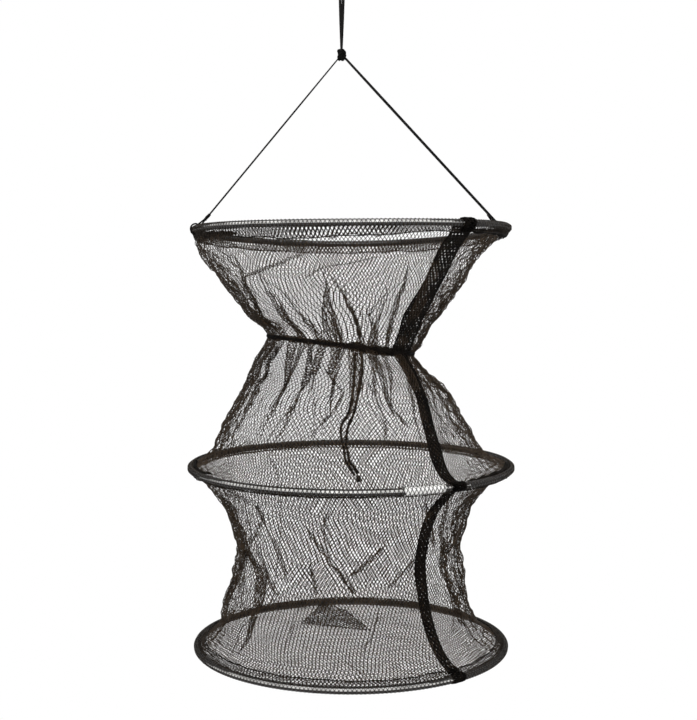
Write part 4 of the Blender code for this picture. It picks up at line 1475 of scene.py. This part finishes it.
@dataclass(frozen=True)
class Drawstring:
    """The cord that draws the throat in, its knot, and the two tails that hang inside the net.

    The tails' routes hold distances from the net's middle and heights, in the plane where they hang.
    """

    cord_radius: float = 1.3
    knot_azimuth: float = -76.4
    knot_inset: float = 8.0
    knot_reach: float = 7.0
    knot_radius: float = 3.6
    knot_gap: float = 0.35
    tail_depth: float = -62.0
    squashed: float = 0.06
    right_route: Table = (
        (17.2, -372.2), (19.4, -377.0), (19.8, -384.0), (18.6, -396.0), (15.8, -412.0),
        (12.9, -425.0), (10.2, -434.0), (6.2, -443.0), (4.6, -452.0), (4.3, -461.0),
        (6.2, -469.0), (7.0, -476.0), (11.4, -482.0), (15.6, -488.4),
    )
    left_route: Table = (
        (13.6, -372.2), (12.4, -377.5), (12.2, -386.0), (11.8, -398.0), (9.9, -416.0),
        (7.4, -427.0), (4.2, -434.5), (0.0, -441.5), (-0.9, -449.0), (0.6, -458.0),
        (2.4, -466.0), (3.2, -474.0), (6.9, -481.5), (12.4, -490.2),
    )
    end_knot: Vector = spot(16.2, -62.0, -493.4)
    end_half: Vector = spot(2.6, 2.6, 3.4)
    throat_half: Vector = spot(6.0, 4.6, 5.2)

    def bunch_up(self, item: bpy.types.Object) -> None:
        """Give a hanging piece its own copy of its mesh."""
        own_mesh(item)

    def tails(self) -> None:
        """The two free cords and the knot at their ends."""
        end = Knot("drawstring_tail_knot", self.end_knot, self.end_half, 1.3)
        knot = end.build(Slot.DRAW, Body.THROAT, "drawstring_end_knot")
        self.bunch_up(knot)
        for side, through in (("right", self.right_route), ("left", self.left_route)):
            route = smooth_route([Vector((x, self.tail_depth, z)) for x, z in through], 0.7)
            item = rope(f"drawstring_tail_{side}_strands", route, self.cord_radius * 1.12, 5.0)
            fit(item, CORD_FINISH, Slot.DRAW, Body.THROAT, "drawstring_tail_" + side)
            self.bunch_up(item)

    def ring(self) -> None:
        """The cord round the throat, its knot and the netting rolled up along it."""
        half = math.degrees((self.knot_radius + self.knot_gap) / (THROAT.radius - self.knot_inset))
        first, last = self.knot_azimuth + half, self.knot_azimuth + 360.0 - half
        azimuth = np.linspace(first, last, 560)
        away = np.minimum(azimuth - first, last - azimuth) / self.knot_reach
        inset = self.knot_inset * np.exp(-away * away)
        up = Wobble(61, 35.0, 0.35).at(THROAT.points(azimuth)) * np.minimum(1.0, away / 3)
        route = [Vector(row) for row in THROAT.points(azimuth, -inset, up)]
        item = rope("throat_drawstring_strands", route, self.cord_radius * 1.6, 7.0)
        fit(item, CORD_FINISH, Slot.DRAW, Body.THROAT, "throat_drawstring")
        centre = THROAT.point(self.knot_azimuth, -self.knot_inset)
        Knot("throat_knot_wraps", centre, self.throat_half, 2.0).build(Slot.DRAW, Body.THROAT, "throat_knot")
        Roll("throat_gather", THROAT, (90.0, 450.0), (2.7, 2.7), (-0.6, 0.0)).build()
        Roll("throat_bunch", THROAT, (-86.0, -26.0), (4.2, 5.0), (-0.6, 0.0)).build()

    def build(self) -> None:
        """Build the drawstring. Its free tails come first."""
        self.tails()
        self.ring()


@dataclass(frozen=True)
class Tie:
    """Where a harness leg ends: a knot, and a cord from it round the hemmed top hoop at an azimuth.

    ends are the knot's loose ends, from its middle.
    """

    side: str
    azimuth: float
    knot: Vector
    ends: tuple[Vector, ...] = ()
    reach: float = 4.95
    cord: float = 0.8625
    opening: float = 0.3
    steps: int = 26
    knot_half: Vector = spot(1.8, 1.8, 4.4)
    knot_cord: float = 0.95

    def build(self, apex: Vector) -> None:
        """Build the cord and the knot.

        Args:
            apex: The apex knot's middle, towards which the tie's knot is drawn.
        """
        centre = TOP_HOOP.point(self.azimuth)
        angle = math.radians(self.azimuth)
        outward = Vector((math.cos(angle), math.sin(angle), 0.0))
        up = Vector((0.0, 0.0, 1.0))
        to_knot = self.knot - centre
        bearing = math.atan2(to_knot.dot(up), to_knot.dot(outward))
        arc = []
        for index in range(self.steps + 1):
            at = bearing + self.opening + (math.tau - 2 * self.opening) * index / self.steps
            arc.append(centre + outward * (self.reach * math.cos(at)) + up * (self.reach * math.sin(at)))
        item = rope(f"tie_loop_{self.side}_strands", smooth_route([self.knot, *arc, self.knot], 0.5), self.cord, 4.0)
        fit(item, CORD_FINISH, Slot.HARNESS, Body.TOP, "tie_loop_" + self.side)
        ends = (tuple(self.knot + end for end in self.ends),) if self.ends else ()
        name = f"tie_knot_{self.side}"
        tied = Knot(name + "_wraps", self.knot, self.knot_half, self.knot_cord, self.knot - apex, ends)
        tied.build(Slot.HARNESS, Body.TOP, name)


LEFT_TIE = Tie("left", 195.0, Vector((-129.6, -38.0, -242.7)))
RIGHT_ENDS = (Vector((0.0, 0.0, 0.0)), Vector((-5.4, 0.0, 2.4)), Vector((-10.6, 0.0, 9.4)))
RIGHT_TIE = Tie("right", 15.0, Vector((158.9, 39.2, -247.4)), RIGHT_ENDS)


@dataclass(frozen=True)
class Harness:
    """The hanging loop, the apex knot, the two flat legs and the ties on the top hoop."""

    apex: Vector = spot(-0.4, 0.0, -81.7)
    knot_middle: float = 1.2
    knot_half: Vector = spot(5.0, 3.8, 6.2)
    loop_foot: float = 4.4
    leg_root: Vector = spot(-0.2, 0.0, -84.0)
    leg_end: float = 1.8
    leg_steps: int = 460
    loop_gap: Pair = (0.3, 1.55)
    loop_turn: Pair = (62.0, 80.0)
    eye_width: float = 12.0
    eye_neck: float = -28.9
    eye_roll: float = 12.0
    tape_width: float = 3.0
    tape_thickness: float = 0.9
    tape_strands: int = 6
    tape_strand: float = 0.42

    def braid(self, name: str, line: list[Vector], wides: list[Vector], node: str, pitch: float = 4.6) -> None:
        """A flat braid along a line.

        Args:
            name: The piece's name.
            line: The braid's own line.
            wides: For each point, the way its width lies.
            node: The CAD node that it stands for.
            pitch: The length of one turn of a strand.
        """
        half_width = self.tape_width / 2 - self.tape_strand
        half_thick = self.tape_thickness / 2 - self.tape_strand * 0.75
        routes = [[] for _ in range(self.tape_strands)]
        for (point, along, run), lies in zip(walk(line), wides):
            wide = (lies - along * lies.dot(along)).normalized()
            thick = along.cross(wide)
            for phase, route in enumerate(routes):
                turn = math.tau * (run / pitch + phase / self.tape_strands)
                route.append(point + wide * half_width * math.sin(turn) + thick * half_thick * math.sin(2 * turn))
        fit(tubes(name, routes, self.tape_strand), TAPE_FINISH, Slot.HARNESS, Body.HARNESS, node)

    def loop(self) -> None:
        """The doubled tape that opens into an eye at the top."""
        foot, neck, top = self.apex.z + self.loop_foot, self.eye_neck, -self.tape_thickness / 2
        shares = [step / 40 for step in range(41)]
        near, far = self.loop_gap
        half = self.tape_thickness / 2
        strand = [Vector((near + (far - near) * share, half, foot + (neck - foot) * share)) for share in shares]
        eye = []
        for angle in (math.pi * step / 18 for step in range(1, 18)):
            width = self.eye_width / 2 * math.sin(angle) ** 0.8
            eye.append(Vector((width, 0.0, neck + (top - neck) * (1 - math.cos(angle)) / 2)))
        right = strand + [point for point in eye if point.x > strand[-1].x]
        left = [Vector((-point.x, -point.y, point.z)) for point in right]
        line, wides = [], []
        for point in smooth_route([*right, Vector((0.0, 0.0, 0.0)), *left[::-1]], 0.55):
            line.append(point + Vector((self.apex.x * (point.z / self.apex.z), 0.0, 0.0)))
            up = min(1.0, max(0.0, (point.z - foot) / (neck - foot)))
            opened = max(0.0, min(1.0, (point.z - neck) / self.eye_roll))
            roll = math.radians(self.loop_turn[0] * (1.0 - up) + self.loop_turn[1] * opened)
            wides.append(Vector((math.cos(roll), math.sin(roll), 0.0)))
        self.braid("hanging_loop_strands", line, wides, "hanging_loop", 8.0)

    def leg(self, tie: Tie, root: Vector, first_roll: float, last_roll: float) -> None:
        """A flat braid from the apex knot to a tie.

        Args:
            tie: The tie.
            root: Where the leg starts in the apex knot.
            first_roll: The braid's turn about its length at the top, in degrees.
            last_roll: Its turn at the tie.
        """
        along = (tie.knot - root).normalized()
        run = (tie.knot - root).length - self.leg_end
        across = along.cross(Vector((0, 1, 0))).normalized()
        face = across.cross(along).normalized()
        line, wides = [], []
        for share in (index / self.leg_steps for index in range(self.leg_steps + 1)):
            roll = math.radians(first_roll + (last_roll - first_roll) * min(1.0, share * 3))
            line.append(root + along * (run * share))
            wides.append(across * math.cos(roll) + face * math.sin(roll))
        self.braid(f"harness_leg_{tie.side}_braid", line, wides, "harness_leg_" + tie.side)

    def build(self) -> None:
        """Build the whole harness."""
        self.loop()
        centre = self.apex - Vector((0.0, 0.0, self.knot_middle))
        Knot("apex_knot_wraps", centre, self.knot_half, 2.0).build(Slot.HARNESS, Body.HARNESS, "apex_knot")
        self.leg(LEFT_TIE, self.leg_root - Vector((2.4, 0.0, 1.5)), 84.0, 72.0)
        self.leg(RIGHT_TIE, self.leg_root + Vector((2.8, 0.0, -1.5)), 40.0, 0.0)
        LEFT_TIE.build(self.apex)
        RIGHT_TIE.build(self.apex)


# Camera, light and background


@dataclass(frozen=True)
class Studio:
    """The photograph's viewpoint, soft light, and a pale floor well below the hanging net."""

    camera_place: tuple[float, float, float] = (6.5, -1333.0, -279.0)
    camera_pitch: float = -4.5
    lens: float = 66.8
    sensor: float = 36.0
    floor_height: float = -1.55
    floor_radius: float = 1.9
    pale: float = 0.9
    world_light: float = 0.5
    net_middle: tuple[float, float, float] = (0.0, 0.0, -0.42)

    def camera(self) -> None:
        """The camera of the photograph."""
        data = bpy.data.cameras.new("camera")
        data.lens, data.sensor_width = self.lens, self.sensor
        data.clip_start, data.clip_end = 0.05, 30.0
        item = linked("camera", data)
        item.location = Vector(self.camera_place) * MM
        item.rotation_euler = (math.radians(90.0 + self.camera_pitch), 0.0, 0.0)
        bpy.context.scene.camera = item

    def lamp(self, name: str, place: tuple[float, float, float], size: Pair, watts: float) -> None:
        """A soft lamp that faces the net.

        Args:
            name: The lamp's name.
            place: Its place in metres.
            size: Its width and height in metres.
            watts: Its power.
        """
        data = bpy.data.lights.new(name, "AREA")
        data.shape = "RECTANGLE"
        data.size, data.size_y = size
        data.energy = watts
        item = linked(name, data)
        item.location = place
        item.rotation_euler = (Vector(self.net_middle) - Vector(place)).to_track_quat("-Z", "Y").to_euler()

    def world(self) -> None:
        """A white background for the camera, gloss and glass, with a plainer light for the object."""
        world = bpy.data.worlds.new("studio")
        nodes = Nodes(world, "Background")
        rays = nodes.add("ShaderNodeLightPath").outputs
        seen = rays["Is Camera Ray"]
        for ray in ("Is Glossy Ray", "Is Transmission Ray"):
            either = nodes.add("ShaderNodeMath", operation="MAXIMUM")
            nodes.tree.links.new(seen, either.inputs[0])
            nodes.tree.links.new(rays[ray], either.inputs[1])
            seen = either.outputs[0]
        nodes.feed(nodes.span(seen, self.world_light, 1.0), "Strength")
        nodes.shader.inputs["Color"].default_value = (1.0, 1.0, 1.0, 1.0)
        bpy.context.scene.world = world

    def floor(self) -> None:
        """A pale round floor that takes the net's shadow."""
        shape = bmesh.new()
        bmesh.ops.create_circle(shape, segments=96, radius=self.floor_radius, cap_ends=True)
        bmesh.ops.translate(shape, verts=shape.verts, vec=(0, 0, self.floor_height))
        item = piece("studio_floor", shape)
        material = bpy.data.materials.new("studio_floor_paint")
        nodes = Nodes(material, "Principled BSDF")
        shades = ((0.3, (self.pale,) * 3), (0.7, (self.pale * 0.98,) * 3))
        nodes.feed(nodes.ramp(nodes.noise(3.0), shades), "Base Color")
        nodes.shader.inputs["Roughness"].default_value = 0.9
        item.data.materials.append(material)

    def build(self) -> None:
        """Set up the whole studio."""
        self.camera()
        self.world()
        self.floor()
        self.lamp("key", (-0.1, -1.9, 0.6), (1.7, 0.45), 42.0)
        self.lamp("top", (0.2, 0.0, 1.4), (1.4, 1.4), 24.0)
        bpy.context.scene.view_settings.view_transform = "Standard"


def main() -> None:
    """Build the whole scene and report each piece."""
    logging.basicConfig(level=logging.INFO, format="%(message)s")
    panels = (UPPER_PANEL, MIDDLE_PANEL, LOWER_PANEL)
    for part in (Studio(), Drawstring(), Harness(), *panels, *SEAMS, *HOOPS, FloorNet()):
        part.build()


if __name__ == "__main__":
    main()
